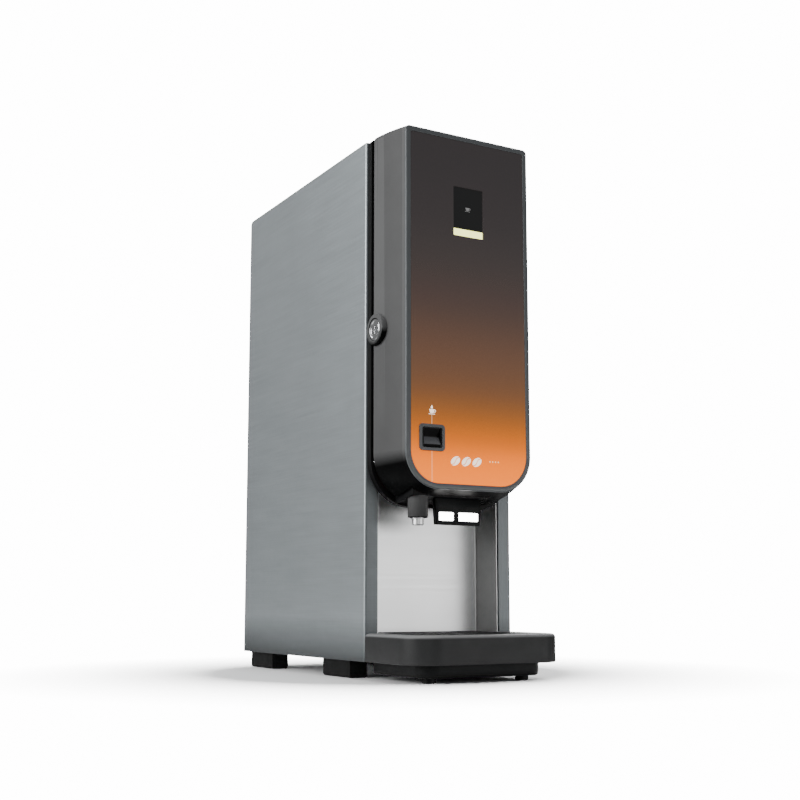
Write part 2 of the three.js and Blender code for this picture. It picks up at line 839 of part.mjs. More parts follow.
// Outline in plan of what lies in the tray: its wide front and its tongue in the niche.
function trayPlan(inset, cornerRadius) {
  const wide = halfWidth - inset;
  const narrow = nicheHalf - slideGap - Math.max(inset - 5, 0);
  const front = -trayReach + inset;
  const step = inset ? -inset : -gap;
  const back = nicheDepth - slideGap - Math.max(inset - 5, 0);
  return [
    [-wide, front, cornerRadius],
    [wide, front, cornerRadius],
    [wide, step, inset ? 3 : 0],
    [narrow, step],
    [narrow, back, 2],
    [-narrow, back, 2],
    [-narrow, step],
    [-wide, step, inset ? 3 : 0],
  ];
}

function dripTray() {
  const recessFloor = trayTop - grilleThickness - 2 * gap;
  const basinFloor = trayBottom + 5;
  const whole = prism("z", trayPlan(0, trayCornerRadius), trayBottom, trayTop, { steps: 8 });
  const tongueRelief = block(-halfWidth, halfWidth, -gap, nicheDepth, 0, panelBottom + sheet + slideGap);
  const recess = trayPlan(trayRim, trayCornerRadius - trayRim);
  const basin = trayPlan(trayRim + trayLedge, trayCornerRadius - trayRim - trayLedge);
  return cut(
    whole,
    tongueRelief,
    prism("z", recess, recessFloor, trayTop + 1, { steps: 6 }),
    prism("z", basin, basinFloor, trayTop + 1, { steps: 6 }),
  );
}

function dripGrille() {
  const low = trayTop - grilleThickness - gap;
  const plate = trayPlan(trayRim + slideGap, trayCornerRadius - trayRim - slideGap);
  const front = -trayReach + trayRim + 12;
  const back = nicheDepth - trayRim - 8;
  const pitch = 9.2;
  const holes = [];
  for (let y = front; y < back; y += pitch) {
    const wide = y < -trayRim - 9 ? halfWidth - trayRim - 12 : nicheHalf - 14;
    const reach = y < front + 1 ? wide - 12 : wide;
    holes.push(rect(-reach, -3, y, y + 5), rect(3, reach, y, y + 5));
  }
  return prism("z", plate, low, low + grilleThickness, { holes, steps: 6 });
}

// A hollow moulding open below, with two round pads under its front corners.
function trayBase() {
  const half = halfWidth - trayBaseInset;
  const front = -trayReach + trayBaseSetback;
  const top = panelBottom - gap;
  const low = top - trayBaseHeight;
  const plan = (inset) => [
    [-half + inset, front + inset, trayBaseRadius - inset],
    [half - inset, front + inset, trayBaseRadius - inset],
    [half - inset, trayBaseBack - inset, 3],
    [-half + inset, trayBaseBack - inset, 3],
  ];
  const shell = cut(
    prism("z", plan(0), low, top, { steps: 6 }),
    prism("z", plan(trayBaseWall), low - 1, top - trayBaseWall, { steps: 6 }),
  );
  const padX = half - trayBasePadInset;
  const padY = front + trayBasePadSetback;
  const pad = (side) =>
    rod("z", trayBasePadRadius, low - trayBasePadHeight, top - 2, side * padX, padY);
  return join(shell, pad(-1), pad(1));
}

// ---- Brewing parts ---------------------------------------------------------------

// Canister in (x, z): straight walls above a hopper with a flat foot.
function canisterOutline(wall) {
  const half = canisterHalf - wall;
  const foot = augerRadius + 6 - wall;
  const low = shelfTop + gap + wall;
  return [
    [-foot, low, 3],
    [foot, low, 3],
    [half, low + 52, 6],
    [half, canisterTop + (wall ? 1 : 0)],
    [-half, canisterTop + (wall ? 1 : 0)],
    [-half, low + 52, 6],
  ];
}

function canister() {
  const [front, back] = [canisterFrontY + canisterWall, canisterBackY - canisterWall];
  return cut(
    prism("y", canisterOutline(0), canisterFrontY, canisterBackY),
    prism("y", canisterOutline(canisterWall), front, back),
    rod("y", outletCollar - 2, canisterFrontY - 1, front + 1, 0, augerZ),
    rod("y", 5.8, back - 1, canisterBackY + 1, 0, augerZ, 16),
  );
}

function canisterLid() {
  const low = canisterTop + gap;
  const half = canisterHalf + 1.5;
  const front = canisterFrontY - 1.5;
  const plan = (inset) =>
    rect(-half + inset, half - inset, front + inset, canisterBackY - inset, 5 - inset);
  return join(
    prism("z", plan(0), low, low + 3),
    prism("z", plan(3), low + 2, low + 6),
  );
}

// A closed strip wound about the auger's axis, from one radius to another.
function screwBlade(inner, outer, from, to, turns, thickness) {
  const steps = 12 * turns;
  const positions = [];
  const index = [];
  for (let i = 0; i <= steps; i += 1) {
    const angle = (2 * Math.PI * turns * i) / steps;
    const y = from + ((to - from) * i) / steps;
    const corners = [[inner, y], [outer, y], [outer, y + thickness], [inner, y + thickness]];
    corners.forEach(([radius, along]) => {
      positions.push(radius * Math.cos(angle), along, augerZ + radius * Math.sin(angle));
    });
    if (i === steps) continue;
    for (let k = 0; k < 4; k += 1) {
      const [a, b] = [4 * i + k, 4 * i + ((k + 1) % 4)];
      index.push(a, b, a + 4, b, b + 4, a + 4);
    }
  }
  const end = 4 * steps;
  index.push(2, 1, 0, 3, 2, 0, end, end + 1, end + 2, end, end + 2, end + 3);
  const geometry = new THREE.BufferGeometry();
  geometry.setAttribute("position", new THREE.Float32BufferAttribute(positions, 3));
  return solid(geometry.setIndex(index));
}

// A screw round a shaft. Its slotted end stands out of the canister's back.
function auger() {
  const from = canisterFrontY + canisterWall + 4;
  const to = canisterBackY - canisterWall - 4;
  const blade = screwBlade(2, augerRadius, from, to - 3, 3, 2);
  const hub = rod("y", 5.2, to, canisterBackY + 2.8, 0, augerZ, 16);
  const slot = block(-7, 7, canisterBackY, canisterBackY + 4, augerZ - dogSlot / 2, augerZ + dogSlot / 2);
  return join(rod("y", 4, from - 3, to + 1, 0, augerZ, 12), blade, cut(hub, slot));
}

function driveDog() {
  const half = dogSlot / 2 - 0.4;
  const disc = bulkheadY - 2.6;
  return join(
    rod("y", 8, disc, disc + 2, 0, augerZ, 20),
    block(-4.5, 4.5, canisterBackY + gap, disc + 1, augerZ - half, augerZ + half),
    rod("y", 3, disc + 1, bulkheadY + sheet + 5, 0, augerZ, 12),
  );
}

function augerMotor() {
  const front = bulkheadY + sheet + gap;
  return cut(
    join(
      prism("y", rect(-25, 25, augerZ - 22, augerZ + 22, 4), front, front + 22),
      rod("y", 16, front + 21, front + motorLength, 0, augerZ + 4),
    ),
    rod("y", 3.4, front - 1, front + 6, 0, augerZ, 12),
  );
}

// An elbow on the canister's front that drops the powder into the bowl.
function canisterElbow() {
  const back = canisterFrontY - gap;
  const mouthY = canisterFrontY - 13;
  const mouth = bowlTop + 6;
  return cut(
    join(
      rod("y", outletCollar, mouthY - 9, back, 0, augerZ),
      rod("z", 10, mouth, augerZ, 0, mouthY, 20),
    ),
    rod("y", outletCollar - 2.5, mouthY - 6.5, back + 1, 0, augerZ, 20),
    rod("z", 7.5, mouth - 1, augerZ, 0, mouthY, 20),
  );
}

const spigotRoute = [
  [0, 38, whipperZ - 8],
  [0, 12, whipperZ - 12],
  [0, outletY + 8, whipperZ - 14],
  [0, outletY, whipperZ - 20],
  [0, outletY, outletTop + gap],
];

// A cup above a whipping chamber, with a spigot at the front and a water inlet on its side.
function mixingBowl() {
  const throat = whipperZ + 8;
  const chamberFront = bowlY - 26;
  const chamberBack = bulkheadY - gap;
  const cup = (wall) => {
    const low = wall ? throat - 6 : throat;
    const high = bowlTop + (wall ? 1 : 0);
    return turned(
      [
        [0, low],
        [17 - wall, low],
        [19 - wall, throat + 8],
        [bowlRadius - wall, throat + 32],
        [bowlRadius - wall, high],
        [0, high],
      ],
      0,
      bowlY,
    );
  };
  const nippleEnd = bowlRadius + 7;
  return cut(
    join(
      cup(0),
      rod("y", whipperRadius, chamberFront, chamberBack, 0, whipperZ),
      pipe(spigotRoute, spigotRadius, 14, 10),
      rod("x", 5, bowlRadius - 4, nippleEnd, bowlY, brewPipeZ, 16),
    ),
    cup(2.5),
    rod("y", whipperRadius - 2.5, chamberFront + 2.5, chamberBack + 1, 0, whipperZ),
    pipe([[0, 40, whipperZ - 8], ...spigotRoute.slice(1, -1), [0, outletY, outletTop - 1]], 5, 14, 10),
    rod("x", 3, bowlRadius - 5, nippleEnd + 1, bowlY, brewPipeZ, 12),
  );
}

function whipperImpeller() {
  const disc = bulkheadY - 27;
  const fins = [0, 1, 2].map((i) =>
    block(-13, 13, disc - 6, disc + 1, -1.2, 1.2)
      .rotate(0, 60 * i, 0)
      .translate(0, 0, whipperZ),
  );
  return join(
    rod("y", 14, disc, disc + 3, 0, whipperZ),
    ...fins,
    rod("y", 2.5, disc + 2, bulkheadY + sheet + 12, 0, whipperZ, 12),
  );
}

function whipperMotor() {
  const front = bulkheadY + sheet + gap;
  return cut(
    join(
      rod("y", 22, front, front + motorLength - 4, 0, whipperZ, 28),
      rod("y", 9, front + motorLength - 5, front + motorLength, 0, whipperZ),
    ),
    rod("y", 3, front - 1, front + 13, 0, whipperZ, 12),
  );
}

// ---- Water -----------------------------------------------------------------------

const boilerHalf = halfWidth - boilerInset;
const boilerLow = deckTop + gap;
const boilerHigh = panelTop - boilerDrop;

function boilerTank() {
  const plan = (wall) => {
    const half = boilerHalf - wall;
    return rect(-half, half, boilerFrontY + wall, boilerBackY - wall, boilerRadius - wall);
  };
  return cut(
    prism("z", plan(0), boilerLow, boilerHigh),
    prism("z", plan(boilerWall), boilerLow + boilerWall, boilerHigh + 1),
  );
}

const boilerMidY = (boilerFrontY + boilerBackY) / 2;

function boilerLid() {
  const low = boilerHigh + gap;
  const plan = rect(-boilerHalf - 3, boilerHalf + 3, boilerFrontY - 3, boilerBackY + 3, 16);
  const holes = [-1, 1].map((side) => circle(side * elementHalf, boilerMidY, elementRadius + gap, 12));
  return prism("z", plan, low, low + 4, { holes });
}

function heatingElement() {
  const high = boilerHigh + 16;
  const low = boilerLow + 24;
  return pipe(
    [
      [-elementHalf, boilerMidY, high],
      [-elementHalf, boilerMidY, (high + low) / 2],
      [-elementHalf, boilerMidY, low + elementHalf],
      [0, boilerMidY, low],
      [elementHalf, boilerMidY, low + elementHalf],
      [elementHalf, boilerMidY, (high + low) / 2],
      [elementHalf, boilerMidY, high],
    ],
    elementRadius - 0.4,
    24,
    8,
  );
}

const valveFrontY = bulkheadY + sheet + 10;

// A solenoid valve between a pipe at the bulkhead and the boiler's front.
function valve(x, z) {
  const tankX = Math.sign(x) * (boilerHalf - 14);
  const [low, high] = [x, tankX].sort((a, b) => a - b);
  return join(
    block(low - 9, high + 9, valveFrontY, valveFrontY + 22, z - 9, z + 9),
    rod("z", 11, z + 8, z + 34, x, valveFrontY + 11),
    rod("y", 4, valveFrontY + 21, boilerFrontY - gap, tankX, z, 12),
  );
}

const hotPipeRoute = [
  [spoutX, spoutY, hoodTop + 3 + gap],
  [spoutX, spoutY, hoodTop + 9],
  [spoutX, spoutY + 10, deckTop + 12],
  [spoutX - 2, 6, deckTop + 13],
  [hotPipeX + 4, 50, deckTop + 22],
  [hotPipeX, bulkheadY - 25, hotPipeZ],
  [hotPipeX, bulkheadY, hotPipeZ],
  [hotPipeX, valveFrontY - gap, hotPipeZ],
];
const brewPipeRoute = [
  [bowlRadius + 7 + slideGap, bowlY, brewPipeZ],
  [bowlRadius + 15, bowlY, brewPipeZ],
  [brewPipeX - 2, bowlY + 18, brewPipeZ],
  [brewPipeX, bowlY + 40, brewPipeZ],
  [brewPipeX, bulkheadY, brewPipeZ],
  [brewPipeX, valveFrontY - gap, brewPipeZ],
];
const inletValveY = backY - 62;
const inletPipeRoute = [
  [inletX, inletValveY - gap, inletZ],
  [inletX, inletValveY - 20, inletZ],
  [inletX - 6, inletValveY - 34, inletZ + 16],
  [inletX - 10, inletValveY - 36, inletZ + 60],
  [inletX - 10, inletValveY - 36, deckBottom - gap],
];

function inletValve() {
  return join(
    block(inletX - 12, inletX + 12, inletValveY, inletValveY + 26, inletZ - 12, inletZ + 12),
    rod("z", 12, inletZ + 11, inletZ + 42, inletX, inletValveY + 13),
  );
}

// A threaded stub through the rear panel with a hexagon nut inside.
function waterInlet() {
  const inside = inletValveY + 26 + gap;
  const outside = cabinetDepth + 12;
  return cut(
    join(
      rod("y", inletRadius, inside, outside, inletX, inletZ),
      rod("y", inletRadius + 5, backY - 8, backY - gap, inletX, inletZ, 6),
      rod("y", inletRadius + 4, cabinetDepth + gap, cabinetDepth + 3.5, inletX, inletZ, 6),
    ),
    rod("y", inletRadius - 3, inside + 3, outside + 1, inletX, inletZ),
  );
}

// ---- Fan, power and control ------------------------------------------------------

function fanHousing() {
  const front = bulkheadY + sheet + gap;
  const back = front + fanDepth;
  const frame = prism("y", rect(-fanHalf, fanHalf, fanZ - fanHalf, fanZ + fanHalf, 4), front, back, {
    holes: [circle(0, fanZ, fanHalf - 3, 28)],
  });
  const struts = [0, 1, 2].map((i) =>
    block(0, fanHalf - 1, back - 3, back, -1.5, 1.5)
      .rotate(0, 120 * i + 90, 0)
      .translate(0, 0, fanZ),
  );
  return join(frame, ...struts, rod("y", 9, back - 3, back, 0, fanZ));
}

function fanRotor() {
  const front = bulkheadY + sheet + gap + 2;
  const blades = Array.from({ length: 5 }, (_, i) =>
    block(7, fanHalf - 5.5, -5, 5, -0.8, 0.8)
      .rotate(35, 0, 0)
      .rotate(0, 72 * i, 0)
      .translate(0, front + 6, fanZ),
  );
  return join(rod("y", 9, front, front + fanDepth - 5.5, 0, fanZ), ...blades);
}

// A mains inlet and the opening of the switch share one plate on the rear panel.
const rockerLow = socketHigh - rockerHeight - 7;

function powerInlet() {
  const back = cabinetDepth + gap;
  const reach = socketHalfWidth - socketLip - gap;
  const [left, right] = [socketX - rockerHalf, socketX + rockerHalf];
  const rocker = rect(left, right, rockerLow, rockerLow + rockerHeight);
  return cut(
    join(
      block(socketX - socketHalfWidth, socketX + socketHalfWidth, back, back + 2, socketLow, socketHigh),
      block(socketX - reach, socketX + reach, back - 24, back + 1, socketLow + 2.3, socketHigh - 2.3),
    ),
    prism("y", rect(socketX - 11, socketX + 11, socketLow + 6, socketLow + 24, 3), back - 16, back + 3),
    prism("y", rocker, back - 16, back + 3),
  );
}

const rockerY = cabinetDepth - 3;
const rockerZ = rockerLow + rockerHeight / 2;

// A rocker with a shallow V face, so that one half lies flush and the other stands out.
function mainSwitch() {
  const half = rockerHalf - 0.5;
  const profile = [
    [rockerY - 7, rockerZ - 3.2],
    [rockerY + 3.2, rockerZ - 5.2],
    [rockerY + 5.2, rockerZ],
    [rockerY + 3.2, rockerZ + 5.2],
    [rockerY - 7, rockerZ + 3.2],
  ];
  return prism("x", profile, socketX - half, socketX + half);
}

function controlBoard() {
  const face = -innerHalf + 8;
  const [front, back] = [nicheDepth + 60, backY - 60];
  const [low, high] = [panelBottom + 40, deckBottom - 30];
  const parts = [0, 1, 2, 3].map((i) => {
    const y = front + 10 + i * 24;
    return block(face + 1, face + 12 + 3 * (i % 2), y, y + 15, low + 12, low + 40);
  });
  return join(
    block(face, face + 1.6, front, back, low, high),
    ...parts,
    block(face + 1, face + 16, front + 12, front + 80, high - 38, high - 12),
  );
}

function powerSupply() {
  const low = panelBottom + sheet + gap;
  const [front, back] = [nicheDepth + 30, nicheDepth + 130];
  const fins = [0, 1, 2, 3, 4, 5].map((i) =>
    block(-34, 34, front + 8 + i * 15, front + 11 + i * 15, low + 49, low + 56),
  );
  return join(block(-40, 40, front, back, low, low + 50), ...fins);
}

// ---- Assembly --------------------------------------------------------------------

add("left_side_panel", sidePanel(-1), "coatedSteel");
add("right_side_panel", sidePanel(1), "coatedSteel");
add("top_panel", topPanel(), "coatedSteel");
add("rear_panel", rearPanel(), "zinc");
add("base_plate", basePlate(), "zinc");
for (const [name, side] of [["left", -1], ["right", 1]]) {
  add(`foot_front_${name}`, foot(side, frontFootY), "rubber");
  add(`foot_rear_${name}`, foot(side, cabinetDepth - rearFootEnd - footLength), "rubber");
}
add("deck_plate", deckPlate(), "stainless");
add("bulkhead", bulkhead(), "stainless");
add("canister_shelf", canisterShelf(), "stainless");
add("splash_panel", splashPanel(), "stainless");
add("front_frame", frontFrame(), "blackPlastic");
add("hinge_bracket_lower", hingeBracket(lowerBracketZ, true), "zinc");
add("hinge_bracket_upper", hingeBracket(upperBracketZ, false), "zinc");

add("door_shell", doorShell(), "greyPlastic");
add("door_bezel", bezel(), "bezelPlastic");
add("door_glass", frontGlass(), "frontGlass");
add("door_liner", doorLiner(), "blackPlastic");
add("display_module", displayModule(), "glossBlack");
add("key_frame", keyFrame(), "bezelPlastic");
add("hot_water_key", hotWaterKey(), "glossBlack");
add("lock_body", lockBody(), "greyPlastic");
add("lock_plug", lockPlug(), "chrome");
add("lock_cam", lockCam(), "zinc");

add("outlet_hood", outletHood(), "blackPlastic");
add("hot_water_spout", hotWaterSpout(), "greyPlastic");
add("lamp_bar", lampBar(), "blackPlastic");
add("lamp_lens_left", lampLens(lensSpans.left), "lens");
add("lamp_lens_right", lampLens(lensSpans.right), "lens");
add("coffee_outlet", coffeeOutlet(), "blackPlastic");

add("drip_tray", dripTray(), "trayPlastic");
add("drip_grille", dripGrille(), "blackPlastic");
add("tray_base", trayBase(), "blackPlastic");

add("canister", canister(), "canisterPlastic");
add("canister_lid", canisterLid(), "whitePlastic");
add("canister_elbow", canisterElbow(), "whitePlastic");
add("auger", auger(), "whitePlastic");
add("drive_dog", driveDog(), "zinc");
add("auger_motor", augerMotor(), "zinc");
add("mixing_bowl", mixingBowl(), "whitePlastic");
add("whipper_impeller", whipperImpeller(), "whitePlastic");
add("whipper_motor", whipperMotor(), "zinc");

add("boiler_tank", boilerTank(), "stainless");
add("boiler_lid", boilerLid(), "stainless");
add("heating_element", heatingElement(), "copper");
add("hot_water_valve", valve(hotPipeX, hotPipeZ), "brass");
add("brew_valve", valve(brewPipeX, brewPipeZ), "brass");
add("inlet_valve", inletValve(), "brass");
add("water_inlet", waterInlet(), "brass");
add("hot_water_pipe", pipe(hotPipeRoute, pipeRadius, 32), "hose");
add("brew_pipe", pipe(brewPipeRoute, pipeRadius, 20), "hose");
add("inlet_pipe", pipe(inletPipeRoute, pipeRadius, 20), "copper");

add("fan_housing", fanHousing(), "blackPlastic");
add("fan_rotor", fanRotor(), "blackPlastic");
add("control_board", controlBoard(), "board");
add("power_supply", powerSupply(), "zinc");
add("power_inlet", powerInlet(), "blackPlastic");
add("main_switch", mainSwitch(), "glossBlack");

const box = new THREE.Box3().setFromObject(machine);
machine.position.y = -(box.min.y + box.max.y) / 2;

export default machine;
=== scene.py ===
# %% [markdown]
# # Hot coffee vending machine
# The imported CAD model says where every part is, how big it is and how it moves. This lesson
# keeps all of that and gives each part that shows its real curves, edges and finish.
# Loading the frame first means that no later step has to guess a place: it asks the frame.

# %% Load the frame
import json
import math

import bmesh
import bpy
from mathutils import Matrix, Vector


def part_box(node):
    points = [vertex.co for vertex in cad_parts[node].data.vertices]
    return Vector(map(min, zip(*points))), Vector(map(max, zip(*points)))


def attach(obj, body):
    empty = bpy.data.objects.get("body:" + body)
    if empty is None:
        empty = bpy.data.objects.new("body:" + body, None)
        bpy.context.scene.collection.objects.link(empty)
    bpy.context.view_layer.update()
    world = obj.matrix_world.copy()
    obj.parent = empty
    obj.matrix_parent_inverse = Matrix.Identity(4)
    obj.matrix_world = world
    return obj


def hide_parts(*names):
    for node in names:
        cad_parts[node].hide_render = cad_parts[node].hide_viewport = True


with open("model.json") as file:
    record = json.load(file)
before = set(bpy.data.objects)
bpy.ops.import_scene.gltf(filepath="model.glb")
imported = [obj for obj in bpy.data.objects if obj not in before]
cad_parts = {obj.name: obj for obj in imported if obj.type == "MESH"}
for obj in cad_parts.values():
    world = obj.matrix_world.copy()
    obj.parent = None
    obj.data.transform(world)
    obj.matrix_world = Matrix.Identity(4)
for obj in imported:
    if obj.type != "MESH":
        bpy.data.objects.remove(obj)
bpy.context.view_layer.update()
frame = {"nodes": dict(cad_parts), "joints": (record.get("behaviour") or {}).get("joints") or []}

# %% [markdown]
# ## Camera
# The machine is seen from its front left, from just above the counter. A taller picture of a
# tall thing is often made by sliding the lens up instead of tilting the camera. Here most of
# that slide is a tilt, because the same camera is moved round the machine for other views,
# and only a small shift is left.

# %% Camera
CAMERA_PLACE = (-0.6919, -1.2419, 0.0823)
CAMERA_TILT = math.radians(97.61)
CAMERA_HEADING = math.radians(-29.71)
FOCAL_LENGTH = 54.16
LENS_SHIFT = 0.05

camera_data = bpy.data.cameras.new("camera")
camera_data.lens = FOCAL_LENGTH
camera_data.sensor_width = 36
camera_data.shift_y = LENS_SHIFT
camera = bpy.data.objects.new("camera", camera_data)
camera.location = CAMERA_PLACE
camera.rotation_euler = (CAMERA_TILT, 0, CAMERA_HEADING)
bpy.context.scene.collection.objects.link(camera)
bpy.context.scene.camera = camera

# %% [markdown]
# ## Nodes in few words
# Shader trees and Geometry Nodes trees are both lists of nodes with links. One helper adds a
# node, sets its options and fills its inputs: a value is stored on the socket and another
# node's output is linked to it. Everything after this step is written with it.

# %% A helper for nodes
def add_node(tree, kind, inputs=None, **options):
    made = tree.nodes.new(kind)
    for option, value in options.items():
        setattr(made, option, value)
    for title, value in (inputs or {}).items():
        if isinstance(value, bpy.types.NodeSocket):
            tree.links.new(value, made.inputs[title])
        else:
            made.inputs[title].default_value = value
    return made

# %% [markdown]
# ## Patterns for finishes
# Real surfaces are never one flat colour. Cloudy variation, a fine grain that catches light
# and a changing gloss are all noise at different sizes. The noise reads Object coordinates,
# in metres, so its size on the part is its size in the world, and it doesn't depend on how
# the mesh was made. `stretch` squeezes it along an axis, which turns grain into brush lines.

# %% Noise, ranges and bumps
def noise(tree, feature, stretch=(1, 1, 1), detail=3.0):
    place = add_node(tree, "ShaderNodeTexCoord").outputs["Object"]
    mapped = add_node(tree, "ShaderNodeMapping", {"Vector": place, "Scale": stretch})
    texture = add_node(
        tree,
        "ShaderNodeTexNoise",
        {"Vector": mapped.outputs[0], "Scale": 1 / feature, "Detail": detail},
    )
    return texture.outputs[0]


def between(tree, value, low, high, from_low=0.3, from_high=0.7):
    ranges = {"Value": value, "From Min": from_low, "From Max": from_high}
    ranges.update({"To Min": low, "To Max": high})
    return add_node(tree, "ShaderNodeMapRange", ranges).outputs[0]


def bump(tree, height, depth, strength=1.0, under=None):
    inputs = {"Height": height, "Distance": depth, "Strength": strength}
    if under:
        inputs["Normal"] = under
    return add_node(tree, "ShaderNodeBump", inputs).outputs[0]


def times(tree, first, second):
    inputs = {0: first, 1: second}
    return add_node(tree, "ShaderNodeMath", inputs, operation="MULTIPLY").outputs[0]


def mix_colours(tree, share, first, second):
    mixer = add_node(tree, "ShaderNodeMix", data_type="RGBA")
    for place, value in ((0, share), (6, first), (7, second)):
        socket = mixer.inputs[place]
        if isinstance(value, bpy.types.NodeSocket):
            tree.links.new(value, socket)
        else:
            socket.default_value = value
    return mixer.outputs[2]


def shade(colour, factor):
    return (*[min(channel * factor, 1) for channel in colour], 1)


def new_finish(name, roughness, metallic=0.0, **constants):
    material = bpy.data.materials.new(name)
    material.use_nodes = True
    principled = material.node_tree.nodes["Principled BSDF"]
    principled.inputs["Roughness"].default_value = roughness
    principled.inputs["Metallic"].default_value = metallic
    for title, value in constants.items():
        principled.inputs[title.replace("_", " ")].default_value = value
    return material, material.node_tree, principled.inputs

# %% [markdown]
# ## Moulded plastic and rubber
# A moulding shows three things: colour that drifts a little over the part, a spark-eroded
# grain of about half a millimetre, and edges that hands have polished lighter. Pointiness
# finds those edges from the mesh itself, so each part needs real rounded edges first.
# `under` paints shade onto faces that look down, where shade gathers on a door's underside,
# and the factor for faces that look up paints a highlight onto them, as light from above would.

# %% Plastics
def facing(tree, axis, at_low, at_high, from_low, from_high):
    normal = add_node(tree, "ShaderNodeNewGeometry").outputs["Normal"]
    split = add_node(tree, "ShaderNodeSeparateXYZ", {0: normal})
    return between(tree, split.outputs[axis], at_low, at_high, from_low, from_high)


def scaled(tree, colour, factor):
    inputs = {0: colour, "Scale": factor}
    return add_node(tree, "ShaderNodeVectorMath", inputs, operation="SCALE").outputs[0]


def plastic(name, colour, roughness, grain=0.0006, grain_depth=0.00002, drift=0.06, wear=0.25,
            under=0, top_highlight=1, **constants):
    material, tree, inputs = new_finish(name, roughness, **constants)
    cloud = between(tree, noise(tree, 0.05), 0, 1)
    body = mix_colours(tree, cloud, shade(colour, 1 - drift), shade(colour, 1 + drift))
    edge = add_node(tree, "ShaderNodeNewGeometry").outputs["Pointiness"]
    polished = between(tree, edge, 0, wear, 0.51, 0.58)
    tint = mix_colours(tree, polished, body, shade(colour, 2.2))
    if under:
        tint = scaled(tree, tint, facing(tree, 2, 1 - under, 1, -0.3, 0.0))
    # Painted highlight: faces that look up are lightened, as light from above would light them.
    if top_highlight != 1:
        tint = scaled(tree, tint, facing(tree, 2, 1, top_highlight, 0.1, 0.5))
    tree.links.new(tint, inputs["Base Color"])
    gloss = between(tree, noise(tree, 0.012, detail=6), roughness * 0.88, roughness * 1.12)
    tree.links.new(gloss, inputs["Roughness"])
    tree.links.new(bump(tree, noise(tree, grain), grain_depth), inputs["Normal"])
    return material


# %% [markdown]
# ## Brushed and coated metal
# The cabinet's sheets are brushed along their length before they are lacquered, so fine
# lines run sideways on every wall. On a wall the lines are noise that changes quickly up the
# wall and slowly along it. `lines` says which way the noise is squeezed. The lacquer on top
# is a coat, and a long soft drift in colour keeps a large sheet from looking printed.
# Painted shade darkens walls that look left, such as the niche's right wall.

# %% Metals
WALL_LINES = (14, 14, 2600)
TOP_LINES = (2600, 14, 14)
FINE_GRAIN = (900, 900, 900)


def metal(name, colour, roughness, lines, line_depth=0.00001, contrast=0.12, metallic=1.0,
          sideways=1, gloss=0.2, **constants):
    material, tree, inputs = new_finish(name, roughness, metallic, **constants)
    brushed = noise(tree, 1.0, lines, detail=4)
    coarse = noise(tree, 1.0, tuple(axis / 3 for axis in lines), detail=2)
    cloud = noise(tree, 0.09)
    streaks = between(tree, brushed, 1 - contrast, 1 + contrast)
    level = times(tree, streaks, between(tree, cloud, 0.95, 1.05))
    tint = scaled(tree, colour, level)
    # Painted shade: walls that look left are darkened.
    if sideways != 1:
        tint = scaled(tree, tint, facing(tree, 0, sideways, 1, -0.9, -0.3))
    tree.links.new(tint, inputs["Base Color"])
    shine = between(tree, coarse, roughness * (1 - gloss), roughness * (1 + gloss))
    tree.links.new(shine, inputs["Roughness"])
    tree.links.new(bump(tree, brushed, line_depth), inputs["Normal"])
    return material

# %% [markdown]
# ## From outline to solid
# Nearly every part here is an outline with round corners that runs along an axis, or a stack
# of such outlines. So the basic tools are `outline`, which turns corners with radii into
# points, and `skin`, which closes a mesh through rings of points. Sizes are written in
# millimetres, as on a drawing, and become metres in one place.

# %% Outlines and skins
MM = 0.001


def outline(corners, steps=8):
    points = []
    for i, (across, up, *round_by) in enumerate(corners):
        corner = Vector((across, up))
        radius = round_by[0] if round_by else 0
        if radius <= 0:
            points.append(corner)
            continue
        before = (Vector(corners[i - 1][:2]) - corner).normalized()
        after = (Vector(corners[(i + 1) % len(corners)][:2]) - corner).normalized()
        half = before.angle(after) / 2
        centre = corner + (before + after).normalized() * (radius / math.sin(half))
        arm = corner + before * (radius / math.tan(half)) - centre
        turn = (math.pi - 2 * half) * (1 if before.cross(after) < 0 else -1)
        points += [centre + Matrix.Rotation(turn * k / steps, 2) @ arm for k in range(steps + 1)]
    return points


def rectangle(left, right, low, high, radius=0):
    return [(left, low, radius), (right, low, radius), (right, high, radius), (left, high, radius)]


def circle(across, up, radius, sides=48):
    angles = [2 * math.pi * i / sides for i in range(sides)]
    return [Vector((across + radius * math.cos(a), up + radius * math.sin(a))) for a in angles]


def at(axis, point, along):
    return {"x": (along, *point), "y": (point[0], along, point[1]), "z": (*point, along)}[axis]


def new_piece(name, shape):
    bmesh.ops.recalc_face_normals(shape, faces=shape.faces)
    mesh = bpy.data.meshes.new(name)
    shape.to_mesh(mesh)
    shape.free()
    piece = bpy.data.objects.new(name, mesh)
    bpy.context.scene.collection.objects.link(piece)
    return piece


def skin(name, rings, loop=False):
    shape = bmesh.new()
    layers = [[shape.verts.new(Vector(point) * MM) for point in ring] for ring in rings]
    count = len(layers[0])
    for lower, upper in zip(layers, layers[1:] + ([layers[0]] if loop else [])):
        for i in range(count):
            shape.faces.new((lower[i - 1], lower[i], upper[i], upper[i - 1]))
    if not loop:
        shape.faces.new(layers[0])
        shape.faces.new(layers[-1])
    return new_piece(name, shape)


def prism(name, axis, points, start, end):
    return skin(name, [[at(axis, p, start) for p in points], [at(axis, p, end) for p in points]])


def block(name, x0, x1, y0, y1, z0, z1):
    return prism(name, "z", outline(rectangle(x0, x1, y0, y1)), z0, z1)


def rod(name, axis, radius, start, end, a, b, sides=48):
    return prism(name, axis, circle(a, b, radius, sides), start, end)


def box(node):
    return [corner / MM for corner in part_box(node)]

# %% [markdown]
# ## Cutting, joining and softening
# Holes are cut with the Boolean modifier's Manifold solver, which is quick and keeps closed
# bodies closed. A real edge is never sharp, so a Bevel with hardened normals follows: the
# flats stay flat in the light and the edge gets its own small highlight. Each result is made
# a plain mesh at once, so nothing depends on live modifiers later.

